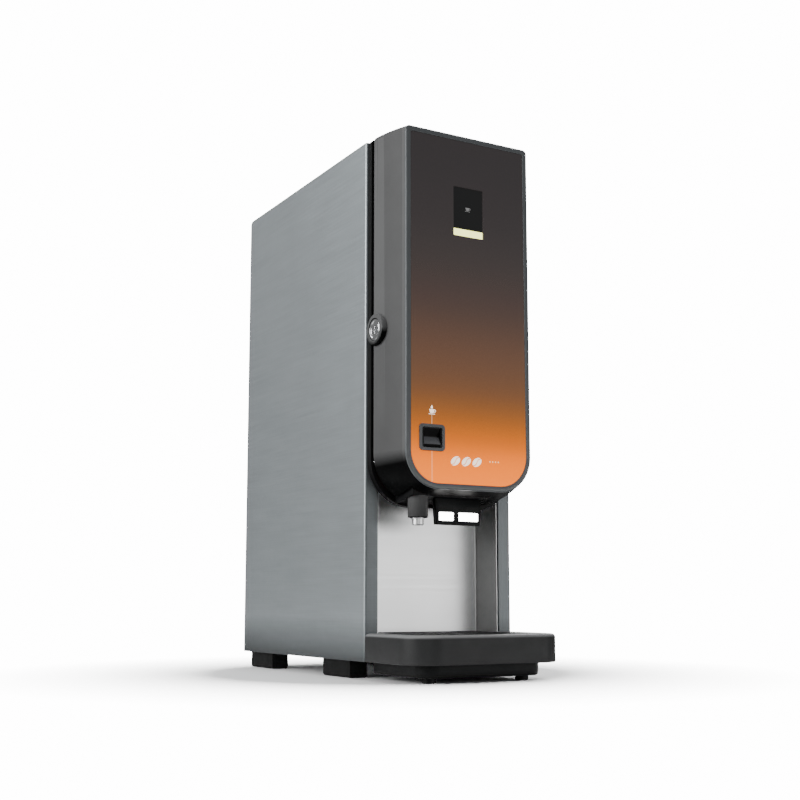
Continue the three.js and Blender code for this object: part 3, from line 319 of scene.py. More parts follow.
# %% Booleans and bevels
def settle(piece):
    graph = bpy.context.evaluated_depsgraph_get()
    mesh = bpy.data.meshes.new_from_object(piece.evaluated_get(graph), depsgraph=graph)
    piece.modifiers.clear()
    piece.data = mesh
    return piece


def combine(piece, tools, operation):
    for tool in tools:
        modifier = piece.modifiers.new(operation, "BOOLEAN")
        modifier.solver = "MANIFOLD"
        modifier.operation = operation
        modifier.object = tool
    settle(piece)
    for tool in tools:
        bpy.data.objects.remove(tool)
    return piece


def smooth(piece, sharp_from):
    piece.data.shade_smooth()
    piece.data.set_sharp_from_angle(angle=math.radians(sharp_from))
    return piece


def carve(piece, *tools):
    return combine(piece, tools, "DIFFERENCE")


def fuse(piece, *tools):
    return combine(piece, tools, "UNION")


def soften(piece, width, segments=3, angle=32):
    shape = bmesh.new()
    shape.from_mesh(piece.data)
    bmesh.ops.remove_doubles(shape, verts=shape.verts, dist=0.02 * MM)
    bmesh.ops.dissolve_degenerate(shape, edges=shape.edges, dist=0.02 * MM)
    shape.to_mesh(piece.data)
    shape.free()
    piece.data.shade_smooth()
    bevel = piece.modifiers.new("bevel", "BEVEL")
    bevel.width = width * MM
    bevel.segments = segments
    bevel.angle_limit = math.radians(angle)
    bevel.harden_normals = True
    bevel.miter_outer = "MITER_ARC"
    return settle(piece)

# %% [markdown]
# ## Handing a piece over
# A finished piece rides on a body of the frame, so that it opens and slides with it, and the
# CAD nodes it stands for are hidden. Parts deep inside keep their CAD shape: their copy has
# its doubled points merged and its edges softened, which is all that they need. A thin sheet
# with holes has no room for a bevel, so `width` 0 leaves its edges crisp.

# %% Piece and copy
def finish(piece, material, body, slot, *nodes):
    piece.data.materials.clear()
    piece.data.materials.append(material)
    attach(piece, body)
    if nodes:
        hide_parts(*nodes)
    piece.data.calc_loop_triangles()
    print(f"{piece.name}: {len(piece.data.loop_triangles)} triangles")
    return piece


def copy_of(node, width=0.4):
    shape = bmesh.new()
    shape.from_mesh(frame["nodes"][node].data)
    bmesh.ops.remove_doubles(shape, verts=shape.verts, dist=0.01 * MM)
    if not width:
        return smooth(new_piece(node + "_body", shape), 32)
    flat = math.radians(1)
    bmesh.ops.dissolve_limit(shape, angle_limit=flat, verts=shape.verts, edges=shape.edges)
    return soften(new_piece(node + "_body", shape), width, 2)

# %% [markdown]
# ## Door shell
# The door's casing is one moulding. Seen from above, each side is an arc that leans in a
# little at the back edge and curls to the front, and the underside follows the same arc, so
# the outline swells towards the back. It could be carved from a block, but a loft through
# outlines is exact and gives an even mesh. A smaller loft inside it leaves the wall.

# %% Door shape
DOOR_WALL = 2.5
BACK_LEAN = math.radians(5)
LOWER_RADIUS = 40
UPPER_RADIUS = 5

shell_low, shell_high = box("door_shell")
bezel_low, bezel_high = box("door_bezel")
rise = shell_high.x - bezel_high.x
door_depth = shell_high.y - shell_low.y
front_lean = 2 * math.atan(rise / door_depth) - BACK_LEAN
side_arc = door_depth / (math.sin(front_lean) - math.sin(BACK_LEAN))


def swell(inward):
    lean = math.asin(math.sin(BACK_LEAN) + inward / side_arc)
    return rise - side_arc * (math.cos(BACK_LEAN) - math.cos(lean))


def door_outline(swollen, wall, steps=20):
    half = bezel_high.x + swollen - wall
    low = bezel_low.z - swollen + wall
    high = shell_high.z - wall
    lower = LOWER_RADIUS + swollen - wall
    upper = max(UPPER_RADIUS - wall, 1)
    corners = [(-half, low, lower), (half, low, lower), (half, high, upper), (-half, high, upper)]
    return outline(corners, steps)


def door_block(name, wall, front, sections):
    back = shell_high.y
    places = [back + (front - back) * i / sections for i in range(sections + 1)]
    rings = [(y, door_outline(swell(back - y), wall)) for y in places]
    rings.insert(0, (back + abs(wall), door_outline(rise, wall)))
    if not wall:
        rings.pop(0)
    return skin(name, [[at("y", p, y) for p in points] for y, points in rings])


door_size = [round(side) for side in shell_high - shell_low]
print("door:", door_size, "mm, side arc", round(side_arc), "mm")

# %% [markdown]
# ## Openings in the door
# The moulding gets its window, a cut-out over the outlets, a seat for the lock and two slots
# that let the hinge brackets' arms in. Two ears with holes are added inside the slots, and
# the brackets' pins stand in them. The hinge's axis comes from the joint in the frame.

# %% Door shell
hinge = next(joint for joint in frame["joints"] if joint["name"] == "door_hinge")
hinge_x, hinge_y, _ = [place / MM for place in hinge["pos_m"]]
lock_low, lock_high = box("lock_body")
lock_y = (lock_low.y + lock_high.y) / 2
lock_z = (lock_low.z + lock_high.z) / 2
hood_low, hood_high = box("outlet_hood")
EAR = 6
ARM = 3
LEAF = 12
GAP = 0.3
lower_arm, upper_arm = [box(f"hinge_bracket_{end}")[0].z + LEAF for end in ("lower", "upper")]


def hinge_ear(z):
    ear = block("ear", hinge_x - 8, shell_high.x + 3, hinge_y - 7, hinge_y + 6.5, z, z + EAR)
    combine(ear, [door_block("limit", 0, shell_low.y, 6)], "INTERSECT")
    return carve(ear, rod("pin", "z", 2.8, z - 1, z + EAR + 1, hinge_x, hinge_y))


def arm_slot(z):
    return block("slot", hinge_x - 14, 99, hinge_y - 6.5, hinge_y + 21, z - 0.7, z + ARM + 0.7)


door_shell = door_block("door_shell_moulding", 0, shell_low.y, 24)
inner_low, inner_high = bezel_low.z + 11, bezel_high.z - 10
inner_half = bezel_high.x - 9.3
window = outline(
    [
        (-inner_half, inner_low, LOWER_RADIUS - 11),
        (inner_half, inner_low, LOWER_RADIUS - 11),
        (inner_half, inner_high, 2),
        (-inner_half, inner_high, 2),
    ]
)
outlet_cut = [hood_low.x - 2.5, hood_high.x + 2.5, hood_low.y - 2, shell_high.y + 13]
carve(
    door_shell,
    door_block("hollow", DOOR_WALL, shell_low.y + DOOR_WALL, 12),
    prism("window", "y", window, shell_low.y - 1, shell_low.y + DOOR_WALL + 1),
    block("outlets", *outlet_cut, shell_low.z - 20, hood_high.z + 1.5),
    rod("lock", "x", 13.8, -99, -70, lock_y, lock_z),
    arm_slot(lower_arm),
    arm_slot(upper_arm),
)
fuse(door_shell, hinge_ear(lower_arm + ARM + GAP), hinge_ear(upper_arm - GAP - EAR))
soften(door_shell, 0.35, 2)
DOOR_GREY = (0.095, 0.096, 0.097)
grey_plastic = plastic("grey_plastic", DOOR_GREY, 0.42, under=0.98, Specular_IOR_Level=0.06)
finish(door_shell, grey_plastic, "door", "grey_plastic", "door_shell")

# %% [markdown]
# ## Bezel
# A thin frame of a bluer grey runs round the glass. It is a small profile swept round the
# door's outline: flat in front, with a generous round outside and a small one at the glass.
# Moving the outline inwards for each point of the profile gives clean corners, where
# following a curve would pinch them. The rings join end to start, like a picture frame.

# %% Bezel
BEZEL_WIDTH = 6


def front_ring(inset, y, steps=24):
    half, low, high = bezel_high.x - inset, bezel_low.z + inset, bezel_high.z - inset
    lower, upper = LOWER_RADIUS - inset, max(UPPER_RADIUS - inset, 2)
    corners = [(-half, low, lower), (half, low, lower), (half, high, upper), (-half, high, upper)]
    return [at("y", p, y) for p in outline(corners, steps)]


def quarter(inset, y, radius, start, steps=5):
    angles = [math.radians(start + 90 * k / steps) for k in range(steps + 1)]
    return [(inset + radius * math.cos(a), y + radius * math.sin(a)) for a in angles]


OUTER_ROUND = 1.4
INNER_ROUND = 0.5
profile = [(0, bezel_high.y)]
profile += quarter(OUTER_ROUND, bezel_low.y + OUTER_ROUND, OUTER_ROUND, 180)
profile += quarter(BEZEL_WIDTH - INNER_ROUND, bezel_low.y + INNER_ROUND, INNER_ROUND, 270, 3)
profile += [(BEZEL_WIDTH, bezel_high.y)]
door_bezel = skin("door_bezel_moulding", [front_ring(inset, y) for inset, y in profile], loop=True)
smooth(door_bezel, 50)
bezel_plastic = plastic("bezel_plastic", (0.095, 0.104, 0.109), 0.32, grain_depth=0.00001)
finish(door_bezel, bezel_plastic, "door", "bezel_plastic", "door_bezel")

# %% [markdown]
# ## Front glass
# The glass is printed on its back: dark brown at the top that warms to orange at the bottom,
# like coffee being poured. The print could be a picture, but a colour ramp over height is
# sharper and needs no file. A clear coat over a smooth base gives the depth of real glass.
# The same ramp feeds the emission: a painted glow with no lamp behind it, which makes the
# print brighter and more saturated.
# The thin pale line that guides the eye to the key is part of the print as well.

# %% Printed glass
glass_low, glass_high = box("door_glass")
key_low, key_high = box("key_frame")
screen_low, screen_high = box("display_module")
key_x = (key_low.x + key_high.x) / 2
KEY_SIGN_Z = 280.5


def height_share(tree, low, high):
    place = add_node(tree, "ShaderNodeTexCoord").outputs["Object"]
    split = add_node(tree, "ShaderNodeSeparateXYZ", {0: place})
    return between(tree, split.outputs[2], 0, 1, low * MM, high * MM), split


PRINT = [
    (0.0, (0.90, 0.180, 0.0)),
    (0.07, (0.80, 0.155, 0.0)),
    (0.12, (0.46, 0.098, 0.0015)),
    (0.19, (0.19, 0.064, 0.011)),
    (0.27, (0.090, 0.041, 0.019)),
    (0.37, (0.074, 0.038, 0.022)),
    (0.49, (0.040, 0.0252, 0.0206)),
    (0.62, (0.026, 0.0202, 0.019)),
    (0.76, (0.019, 0.016, 0.0164)),
    (1.0, (0.0155, 0.013, 0.0136)),
]
PRINT_PAINTED_GLOW = 1.6
PALE_LINE = (1.0, 0.75, 0.5, 1)


def printed_glass():
    material, tree, inputs = new_finish("front_glass", 0.07, Coat_Weight=0.5, Coat_Roughness=0.015)
    share, split = height_share(tree, glass_low.z, glass_high.z)
    ramp = add_node(tree, "ShaderNodeValToRGB", {"Fac": share})
    ramp.color_ramp.interpolation = "B_SPLINE"
    stops = ramp.color_ramp.elements
    while len(stops) < len(PRINT):
        stops.new(0.5)
    for stop, (place, colour) in zip(stops, PRINT):
        stop.position = place
        stop.color = (*colour, 1)
    places = {0: split.outputs[0], 1: key_x * MM}
    beside = add_node(tree, "ShaderNodeMath", places, operation="SUBTRACT").outputs[0]
    off = add_node(tree, "ShaderNodeMath", {0: beside}, operation="ABSOLUTE").outputs[0]
    line = between(tree, off, 0.3, 0, 0.0003, 0.0005)
    below = between(tree, split.outputs[2], 1, 0, (KEY_SIGN_Z - 5) * MM, (KEY_SIGN_Z - 4) * MM)
    printed = mix_colours(tree, times(tree, line, below), ramp.outputs[0], PALE_LINE)
    speck = between(tree, noise(tree, 0.0008), 0.94, 1.06)
    shaded = scaled(tree, printed, speck)
    tree.links.new(shaded, inputs["Base Color"])
    # Painted glow: the print's own colour is also emitted as light.
    tree.links.new(shaded, inputs["Emission Color"])
    inputs["Emission Strength"].default_value = PRINT_PAINTED_GLOW
    tree.links.new(between(tree, noise(tree, 0.03), 0.055, 0.085), inputs["Roughness"])
    return material


# %% [markdown]
# ## Glass plate
# The plate itself is the door's outline, moved in by the bezel's width, with a window for
# the display and a hole for the key's frame. A thin bevel gives its edge a ground look.

# %% Glass plate
SCREEN = rectangle(-19, 19, screen_low.z + 5.0, screen_high.z - 4.7, 1)
KEY_HOLE = rectangle(key_low.x - GAP, key_high.x + GAP, key_low.z - GAP, key_high.z + GAP, 4.3)
door_glass = prism(
    "door_glass_plate",
    "y",
    [Vector((x, z)) for x, _, z in front_ring(BEZEL_WIDTH + GAP, 0)],
    glass_low.y,
    glass_high.y,
)
for hole in (SCREEN, KEY_HOLE):
    carve(door_glass, prism("hole", "y", outline(hole), glass_low.y - 1, glass_high.y + 1))
soften(door_glass, 0.35)
finish(door_glass, printed_glass(), "door", "front_glass", "door_glass")

# %% [markdown]
# ## Display
# Behind a window in the glass sits the display: a black screen, and under it a lit bar that
# is touched to start a drink. Both are thin glossy bodies with their own material, because
# one lights up and the other doesn't. The screen shows a plain cup drawn from a few shapes.

# %% Display
INK_BLACK = (0.004, 0.0043, 0.0047)
GLOSS = {"Coat_Weight": 1.0, "Coat_Roughness": 0.02}
gloss_black = plastic("gloss_black", INK_BLACK, 0.14, 0.001, 0.000002, wear=0.08, **GLOSS)


def lit(name, colour, glow, roughness=0.3):
    material, tree, inputs = new_finish(name, roughness, Emission_Color=(*colour, 1))
    level = between(tree, noise(tree, 0.004), 0.9, 1.0)
    tree.links.new(scaled(tree, colour, level), inputs["Base Color"])
    strength = between(tree, noise(tree, 0.01), glow * 0.94, glow * 1.06)
    tree.links.new(strength, inputs["Emission Strength"])
    return material


BAR_TOP = 481.5
screen_front = screen_low.y
left, right, low, high = -18.7, 18.7, screen_low.z + 5.3, screen_high.z - 5.0
back_case = rectangle(screen_low.x, screen_high.x, screen_low.z, screen_high.z, 2)
display_case = prism("display_case", "y", outline(back_case), glass_high.y + GAP, screen_high.y)
soften(display_case, 0.6)
finish(display_case, gloss_black, "door", "gloss_black", "display_module")
screen_plate = outline(rectangle(left, right, BAR_TOP + 0.2, high, 0.6))
display_screen = prism("display_screen", "y", screen_plate, screen_front + 0.3, glass_high.y + 0.2)
soften(display_screen, 0.2)
finish(display_screen, gloss_black, "door", "gloss_black")
bar_plate = outline(rectangle(left, right, low, BAR_TOP, 0.6))
start_bar = prism("start_bar", "y", bar_plate, screen_front, glass_high.y)
soften(start_bar, 0.3)
finish(start_bar, lit("start_bar_light", (0.9, 0.93, 0.32), 2.6), "door", "lens")

# %% [markdown]
# ## Generic signs
# Signs are built as thin bodies that stand a twentieth of a millimetre proud, as a printed
# layer does. A cup is a tapered bowl, a ring for its handle and a saucer line. A bean is an
# ellipse split by an S. None of them is a letter or belongs to anybody.

# %% Cup, drop and bean
def ellipse(across, up, half_length, half_width, tilt, sides=40):
    turn = Matrix.Rotation(tilt, 2)
    ring = [Vector((p.x * half_length, p.y * half_width)) for p in circle(0, 0, 1, sides)]
    return [turn @ p + Vector((across, up)) for p in ring]


def cup(name, x, z, half, face, thick=0.08):
    bowl = outline([(x - half, z + half * 0.6), (x - half * 0.6, z - half * 0.7, half * 0.35),
                    (x + half * 0.6, z - half * 0.7, half * 0.35), (x + half, z + half * 0.6)])
    side = x + half, z + half * 0.05
    handle = prism("handle", "y", circle(*side, half * 0.5), face - thick, face)
    carve(handle, prism("eye", "y", circle(*side, half * 0.3), face - 1, face + 1))
    saucer = rectangle(x - half * 1.2, x + half * 1.2, z - half * 1.1, z - half * 0.9, half * 0.09)
    shape = prism(name, "y", bowl, face - thick, face)
    return fuse(shape, handle, prism("saucer", "y", outline(saucer), face - thick, face))


def drop(name, x, z, radius, face, thick=0.08):
    angles = [math.radians(30 - 240 * k / 30) for k in range(31)]
    points = [Vector((x, z + 2 * radius))]
    points += [Vector((x + radius * math.cos(a), z + radius * math.sin(a))) for a in angles]
    return prism(name, "y", points, face - thick, face)


def bean(name, x, z, half_length, half_width, tilt, face, thick=0.08):
    shape = prism(name, "y", ellipse(x, z, half_length, half_width, tilt), face - thick, face)
    turn = Matrix.Rotation(tilt, 2)
    steps = [k / 12 * 2 - 1 for k in range(13)]
    wave = [half_width * 0.3 * math.sin(math.pi * s) for s in steps]
    middle = [Vector((half_length * 1.1 * s, up)) for s, up in zip(steps, wave)]
    split = Vector((0, half_width * 0.1))
    around = [p + split for p in middle] + [p - split for p in reversed(middle)]
    line = [turn @ p + Vector((x, z)) for p in around]
    return carve(shape, prism("split", "y", line, face - 1, face + 1))


# %% [markdown]
# ## Signs on the door
# The signs on the glass have a faint painted glow, like the print under them. A cup with a
# drop marks the hot-water key, three beans and four dots stand for the strength of the
# coffee, and a small cup waits on the screen. Bodies of one sign are joined, so each sign is
# one piece.

# %% Signs on the door
PRINT_PROUD, PRINT_THICK = 0.03, 0.08
BEAN_X, BEAN_Z, BEAN_SIZE, BEAN_TILT = (-18.5, -5.0, 8.5), 228, (6.3, 4.2), math.radians(35)
DOTS, DOT_X, DOT_Z, DOT_PITCH, DOT_RADIUS = 4, 25, 229.5, 3.6, 0.9
print_face = glass_low.y + PRINT_PROUD
# White print with a painted glow.
white_print_glow = lit("white_print_glow", (1.0, 0.86, 0.72), 1.5, 0.4)
screen_cup = cup("screen_cup", -0.5, 505, 2.6, screen_front + 0.32)
finish(screen_cup, lit("screen_grey", (0.3, 0.3, 0.3), 0.25), "door", "lens")
key_sign = fuse(cup("key_sign", key_x, KEY_SIGN_Z - 1.6, 3.2, print_face),
                drop("water", key_x, KEY_SIGN_Z + 2.2, 1.3, print_face))
finish(key_sign, white_print_glow, "door", "front_glass")
beans = [bean("bean", x, BEAN_Z, *BEAN_SIZE, BEAN_TILT, print_face) for x in BEAN_X]
bean_sign = fuse(*beans)
bean_sign.name = "bean_sign"
finish(bean_sign, white_print_glow, "door", "front_glass")
dots = [circle(DOT_X + DOT_PITCH * i, DOT_Z, DOT_RADIUS, 24) for i in range(DOTS)]
print_back = print_face - PRINT_THICK
strength_dots = fuse(*[prism("dot", "y", dot, print_back, print_face) for dot in dots])
strength_dots.name = "strength_dots"
# Pale print with a painted glow.
finish(strength_dots, lit("pale_print_glow", (1.0, 0.55, 0.25), 1.3, 0.4), "door", "front_glass")

# %% [markdown]
# ## Hot-water key
# The key is a deep paddle in its own frame. In section it slopes inwards from the top and
# comes out again to a lip at the bottom, so a finger finds it without looking. The lip looks
# up, and painted light on faces that look up makes it a grey band. It is drawn as that section
# and run sideways, which is how its mould would be cut, and two cheeks close its ends. It
# rides on its own body, because it can be pressed.

# %% Key and frame
KEY_WALL = 3.3


def key_rect(inset, radius):
    low, high = key_low + Vector([inset] * 3), key_high - Vector([inset] * 3)
    return outline(rectangle(low.x, high.x, low.z, high.z, radius), 10)


key_frame = prism("key_frame_moulding", "y", key_rect(0, 4), key_low.y, key_high.y)
carve(key_frame, prism("well", "y", key_rect(KEY_WALL, 2), key_low.y - 1, key_high.y - 1.5))
soften(key_frame, 0.8, 4)
finish(key_frame, bezel_plastic, "door", "bezel_plastic", "key_frame")

pad_low, pad_high = box("hot_water_key")
paddle = outline(
    [
        (pad_high.y, pad_low.z),
        (pad_high.y, pad_high.z),
        (pad_low.y + 0.3, pad_high.z, 0.5),
        (pad_low.y + 4.6, pad_high.z - 9.2, 1.5),
        (pad_low.y + 0.2, pad_low.z + 3.2, 0.8),
        (pad_low.y + 1.6, pad_low.z, 0.5),
    ],
    5,
)
CHEEK = 1.6
cheeks = [block("cheek", x, x + CHEEK, pad_low.y + 0.3, pad_high.y, pad_low.z, pad_high.z)
          for x in (pad_low.x, pad_high.x - CHEEK)]
hot_water_key = fuse(prism("hot_water_paddle", "x", paddle, pad_low.x, pad_high.x), *cheeks)
soften(hot_water_key, 0.4)
KEY_BLACK = (0.004, 0.0042, 0.0045)
# The key's finish paints a highlight on faces that look up, which makes the lip a grey band.
key_black = plastic("key_black", KEY_BLACK, 0.3, wear=0.08, top_highlight=32, Specular_IOR_Level=0.2)
finish(hot_water_key, key_black, "hot_water_key", "gloss_black", "hot_water_key")

# %% [markdown]
# ## Lock
# The lock's boss fills the space between the door's curved side and a flat face, so it is a
# cylinder with the door's own shape cut out of it. The chrome plug is turned: its profile is
# a list of radii along the axis, and `turned` closes rings through them. Then the keyway is
# cut with its ward, the small step that makes one key fit and another not.

# %% Lock
def turned(name, axis, profile, a, b, sides=64, loop=False):
    rings = [[at(axis, p, along) for p in circle(a, b, radius, sides)] for radius, along in profile]
    return skin(name, rings, loop)


face = lock_low.x
BOSS_RADIUS = (lock_high.z - lock_low.z) / 2
boss_profile = [(BOSS_RADIUS - 2, face), (BOSS_RADIUS - 0.6, face + 0.6),
                (BOSS_RADIUS, face + 2), (BOSS_RADIUS, face + 9)]
boss = turned("lock_boss", "x", boss_profile, lock_y, lock_z)
carve(boss, door_block("seat", -GAP, shell_low.y, 24))
fuse(boss, rod("barrel", "x", 13.5, face + 1, lock_high.x, lock_y, lock_z))
carve(boss, rod("mouth", "x", 12.3, face - 1, face + 5, lock_y, lock_z),
      rod("bore", "x", 9.3, face + 4, lock_high.x + 1, lock_y, lock_z))
soften(boss, 0.5)
finish(boss, grey_plastic, "door", "grey_plastic", "lock_body")

plug_low, plug_high = box("lock_plug")
start = plug_low.x
plug_steps = [(7.6, 1.1), (8.2, 0.5), (9.0, 1.0), (9.6, 0.1), (11.2, 0), (12.0, 0.8), (12.0, 4.4),
              (9.0, 4.4), (9.0, plug_high.x - start)]
plug_profile = [(radius, start + depth) for radius, depth in plug_steps]
plug = turned("lock_plug_turned", "x", plug_profile, lock_y, lock_z)
keyway = outline(rectangle(lock_y - 1.0, lock_y + 1.0, lock_z - 4.2, lock_z + 4.2))
ward = outline(rectangle(lock_y - 0.2, lock_y + 2.2, lock_z - 1.4, lock_z + 0.6))
carve(plug, *[prism("keyway", "x", cut, start - 1, start + 5) for cut in (keyway, ward)])
soften(plug, 0.2)
chrome = metal("chrome", (0.82, 0.83, 0.84), 0.12, FINE_GRAIN, 0.000001, 0.03)
finish(plug, chrome, "lock_plug", "chrome", "lock_plug")
zinc = metal("zinc", (0.46, 0.47, 0.48), 0.42, FINE_GRAIN, 0.000004, 0.10)
finish(copy_of("lock_cam", 0.3), zinc, "lock_plug", "zinc", "lock_cam")

# %% [markdown]
# ## Cabinet sheets
# Each side is one sheet with its front edge folded inwards, so in plan it is an L with round
# bends of the sheet's thickness. Its top rear corner is rounded too: two prisms, one from
# above and one from the side, are kept only where they meet. The brush lines run sideways
# over sheet and flange alike, because the sheet is brushed before it is folded.

# %% Side panels and top
SHEET = 1.5
BEND = 2.4
CORNER = 6
TOP_LIP = 22
FLOOR_SHADE = 46
panel_low = box("left_side_panel")[0]
top_low, top_high = box("top_panel")


COAT_BLUE = (0.40, 0.44, 0.46)


def panel_steel(name, lines):
    material, tree, inputs = new_finish(name, 0.42, 0.72, Coat_Weight=0.15, Coat_Roughness=0.3)
    brushed = noise(tree, 1.0, lines, detail=4)
    cloud = noise(tree, 0.11)
    share, _ = height_share(tree, panel_low.z, panel_low.z + FLOOR_SHADE)
    floor_shade = between(tree, share, 0.16, 1.0, 0, 1)
    streaks = between(tree, brushed, 0.93, 1.07)
    drift = between(tree, cloud, 0.97, 1.03)
    fold_shade = facing(tree, 1, 0.36, 1, -0.9, -0.5)
    for factor in (floor_shade, drift, fold_shade):
        streaks = times(tree, streaks, factor)
    tree.links.new(scaled(tree, COAT_BLUE, streaks), inputs["Base Color"])
    tree.links.new(between(tree, brushed, 0.36, 0.48), inputs["Roughness"])
    tree.links.new(bump(tree, brushed, 0.000012), inputs["Normal"])
    return material


wall_steel = panel_steel("coated_steel", WALL_LINES)
top_steel = panel_steel("coated_steel_top", TOP_LINES)


def side_panel(node, side):
    low, high = box(node)
    outer, flange = (low.x, high.x) if side < 0 else (high.x, low.x)
    inner = outer - side * SHEET
    plan = outline(
        [
            (outer, low.y, BEND),
            (outer, high.y),
            (inner, high.y),
            (inner, low.y + SHEET, BEND - SHEET),
            (flange, low.y + SHEET),
            (flange, low.y),
        ]
    )
    sheet = prism(node + "_sheet", "z", plan, low.z, high.z)
    corners = [(low.y - 1, low.z), (high.y, low.z), (high.y, high.z, CORNER), (low.y - 1, high.z)]
    side_view = prism("side_view", "x", outline(corners), low.x - 1, high.x + 1)
    combine(sheet, [side_view], "INTERSECT")
    return finish(soften(sheet, 0.3), wall_steel, "cabinet", "coated_steel", node)


side_panel("left_side_panel", -1)
side_panel("right_side_panel", 1)
lip = top_high.z - TOP_LIP
top_view = outline(
    [
        (top_low.y, top_high.z),
        (top_high.y, top_high.z, CORNER),
        (top_high.y, lip),
        (top_high.y - SHEET, lip),
        (top_high.y - SHEET, top_high.z - SHEET, CORNER - SHEET),
        (top_low.y, top_high.z - SHEET),
    ]
)
top_panel = soften(prism("top_panel_sheet", "x", top_view, top_low.x, top_high.x), 0.3)
finish(top_panel, top_steel, "cabinet", "coated_steel", "top_panel")

# %% [markdown]
# ## Front frame
# A black moulded frame closes the cabinet's front. Only a narrow strip of it shows beside
# the closed door, and all of it shows when the door is open. It is an outline with a window,
# a bite for the lock's boss and two pockets for the hinge leaves.

# %% Frame
frame_low, frame_high = box("front_frame")
FRAME_BLACK = (0.006, 0.0063, 0.0066)
black_plastic = plastic("black_plastic", FRAME_BLACK, 0.45, wear=0.12, Specular_IOR_Level=0.14)


def leaf_pocket(arm):
    return block("pocket", hinge_x - 8.3, hinge_x + 6.3, frame_low.y - 1, frame_low.y + 2.3,
                 arm - LEAF - GAP, arm + ARM + LEAF + GAP)


frame_half, opening_half = frame_high.x, 72
deck_top = box("deck_plate")[1].z
front_outline = outline(
    [
        (-frame_half, frame_low.z, 50),
        (frame_half, frame_low.z, 50),
        (frame_half, frame_high.z, 4),
        (-frame_half, frame_high.z, 4),
    ],
    20,
)
front_frame = prism("front_frame_moulding", "y", front_outline, frame_low.y, frame_high.y)
opening = outline(rectangle(-opening_half, opening_half, deck_top, frame_high.z - 6, 6))
carve(
    front_frame,
    prism("opening", "y", opening, frame_low.y - 1, frame_high.y + 1),
    rod("lock_bite", "x", BOSS_RADIUS + 0.8, -95, 1 - opening_half, lock_y, lock_z),
    leaf_pocket(lower_arm),
    leaf_pocket(upper_arm),
)
finish(soften(front_frame, 0.6), black_plastic, "cabinet", "black_plastic", "front_frame")
for node in ("hinge_bracket_lower", "hinge_bracket_upper"):
    finish(copy_of(node, 0.3), zinc, "cabinet", "zinc", node)

# %% [markdown]
# ## Outlets under the door
# Under the door hangs a black hood with the hot-water spout, the coffee outlet and a lamp
# bar. The spout is turned: a wide grey collar, a groove, then a bright metal tip, with the
# bore left open so that it reads as a pipe. The two lenses glow, and they light the cup.

# %% Spout, hood and coffee outlet
spout_low, spout_high = box("hot_water_spout")
SPOUT_PLACE = (-48, (spout_low.y + spout_high.y) / 2)
COLLAR, TIP, BORE, PIPE, PIPE_BORE = 10.8, 6.2, 4.6, 4, 2.5
shoulder = spout_low.z + 7.6
collar_profile = [
    (COLLAR - 3.5, shoulder),
    (COLLAR - 1.2, shoulder),
    (COLLAR - 0.3, shoulder + 0.4),
    (COLLAR, shoulder + 1.4),
    (COLLAR, hood_high.z),
    (PIPE, hood_high.z),
    (PIPE, spout_high.z),
    (PIPE_BORE, spout_high.z),
    (PIPE_BORE, shoulder + 4),
]
collar = turned("spout_collar", "z", collar_profile, *SPOUT_PLACE)
seat = rod("collar_seat", "z", COLLAR + GAP, 0, hood_high.z - 1, *SPOUT_PLACE)
hood = soften(carve(copy_of("outlet_hood", 0.2), seat), 0.3)
finish(smooth(collar, 40), grey_plastic, "cabinet", "grey_plastic", "hot_water_spout")
BRIGHT_STEEL = (0.88, 0.885, 0.885)
stainless = metal("stainless", BRIGHT_STEEL, 0.36, WALL_LINES, 0.0000008, 0.02)
tip_profile = [
    (BORE, shoulder + 3.5),
    (BORE, spout_low.z + 0.4),
    (BORE + 0.4, spout_low.z),
    (TIP - 0.6, spout_low.z),
    (TIP, spout_low.z + 0.6),
    (TIP, shoulder - 1.6),
    (TIP + 1.1, shoulder - 1.2),
    (TIP + 1.1, shoulder - 0.2),
    (TIP + 0.5, shoulder - 0.1),
    (TIP + 0.5, shoulder + 3.5),
]
tip = turned("spout_tip", "z", tip_profile, *SPOUT_PLACE, loop=True)
finish(smooth(tip, 40), stainless, "cabinet", "stainless")
finish(hood, black_plastic, "cabinet", "black_plastic", "outlet_hood")

outlet_low, outlet_high = box("coffee_outlet")
outlet_y = (outlet_low.y + outlet_high.y) / 2
nozzle, bottom = outlet_high.x, outlet_low.z
outlet_profile = [(nozzle - 3, bottom + 0.3), (nozzle - 2.7, bottom), (nozzle - 1.5, bottom),
                  (nozzle, bottom + 6), (nozzle, outlet_high.z), (nozzle - 3, outlet_high.z)]
outlet = smooth(turned("coffee_nozzle", "z", outlet_profile, 0, outlet_y, loop=True), 40)
finish(outlet, black_plastic, "cabinet", "black_plastic", "coffee_outlet")

# %% [markdown]
# ## Lamp over the cup
# The dark bar holds two lenses of frosted plastic with lamps behind them. A lens that glows
# is simpler than a lamp behind a clear one, and it lights the splash panel in the same way.

# %% Lamp
finish(copy_of("lamp_bar", 0.5), black_plastic, "cabinet", "black_plastic", "lamp_bar")
lamp_light = lit("lamp_light", (1.0, 0.99, 0.97), 14.0)
for side in ("left", "right"):
    low, high = box(f"lamp_lens_{side}")
    plate = outline(rectangle(low.x, high.x, low.z, high.z, 1.2))
    lens = prism(f"lamp_diffuser_{side}", "y", plate, low.y, high.y)
    finish(soften(lens, 0.5), lamp_light, "cabinet", "lens", f"lamp_lens_{side}")

# %% [markdown]
# ## Cup niche
# The niche's back and sides are one bright steel sheet, bent to a U and brushed sideways. It
# is drawn in plan, and its bends keep the sheet's thickness. Its finish is smoother than the
# cabinet's, so the lamp and the cup show in it.

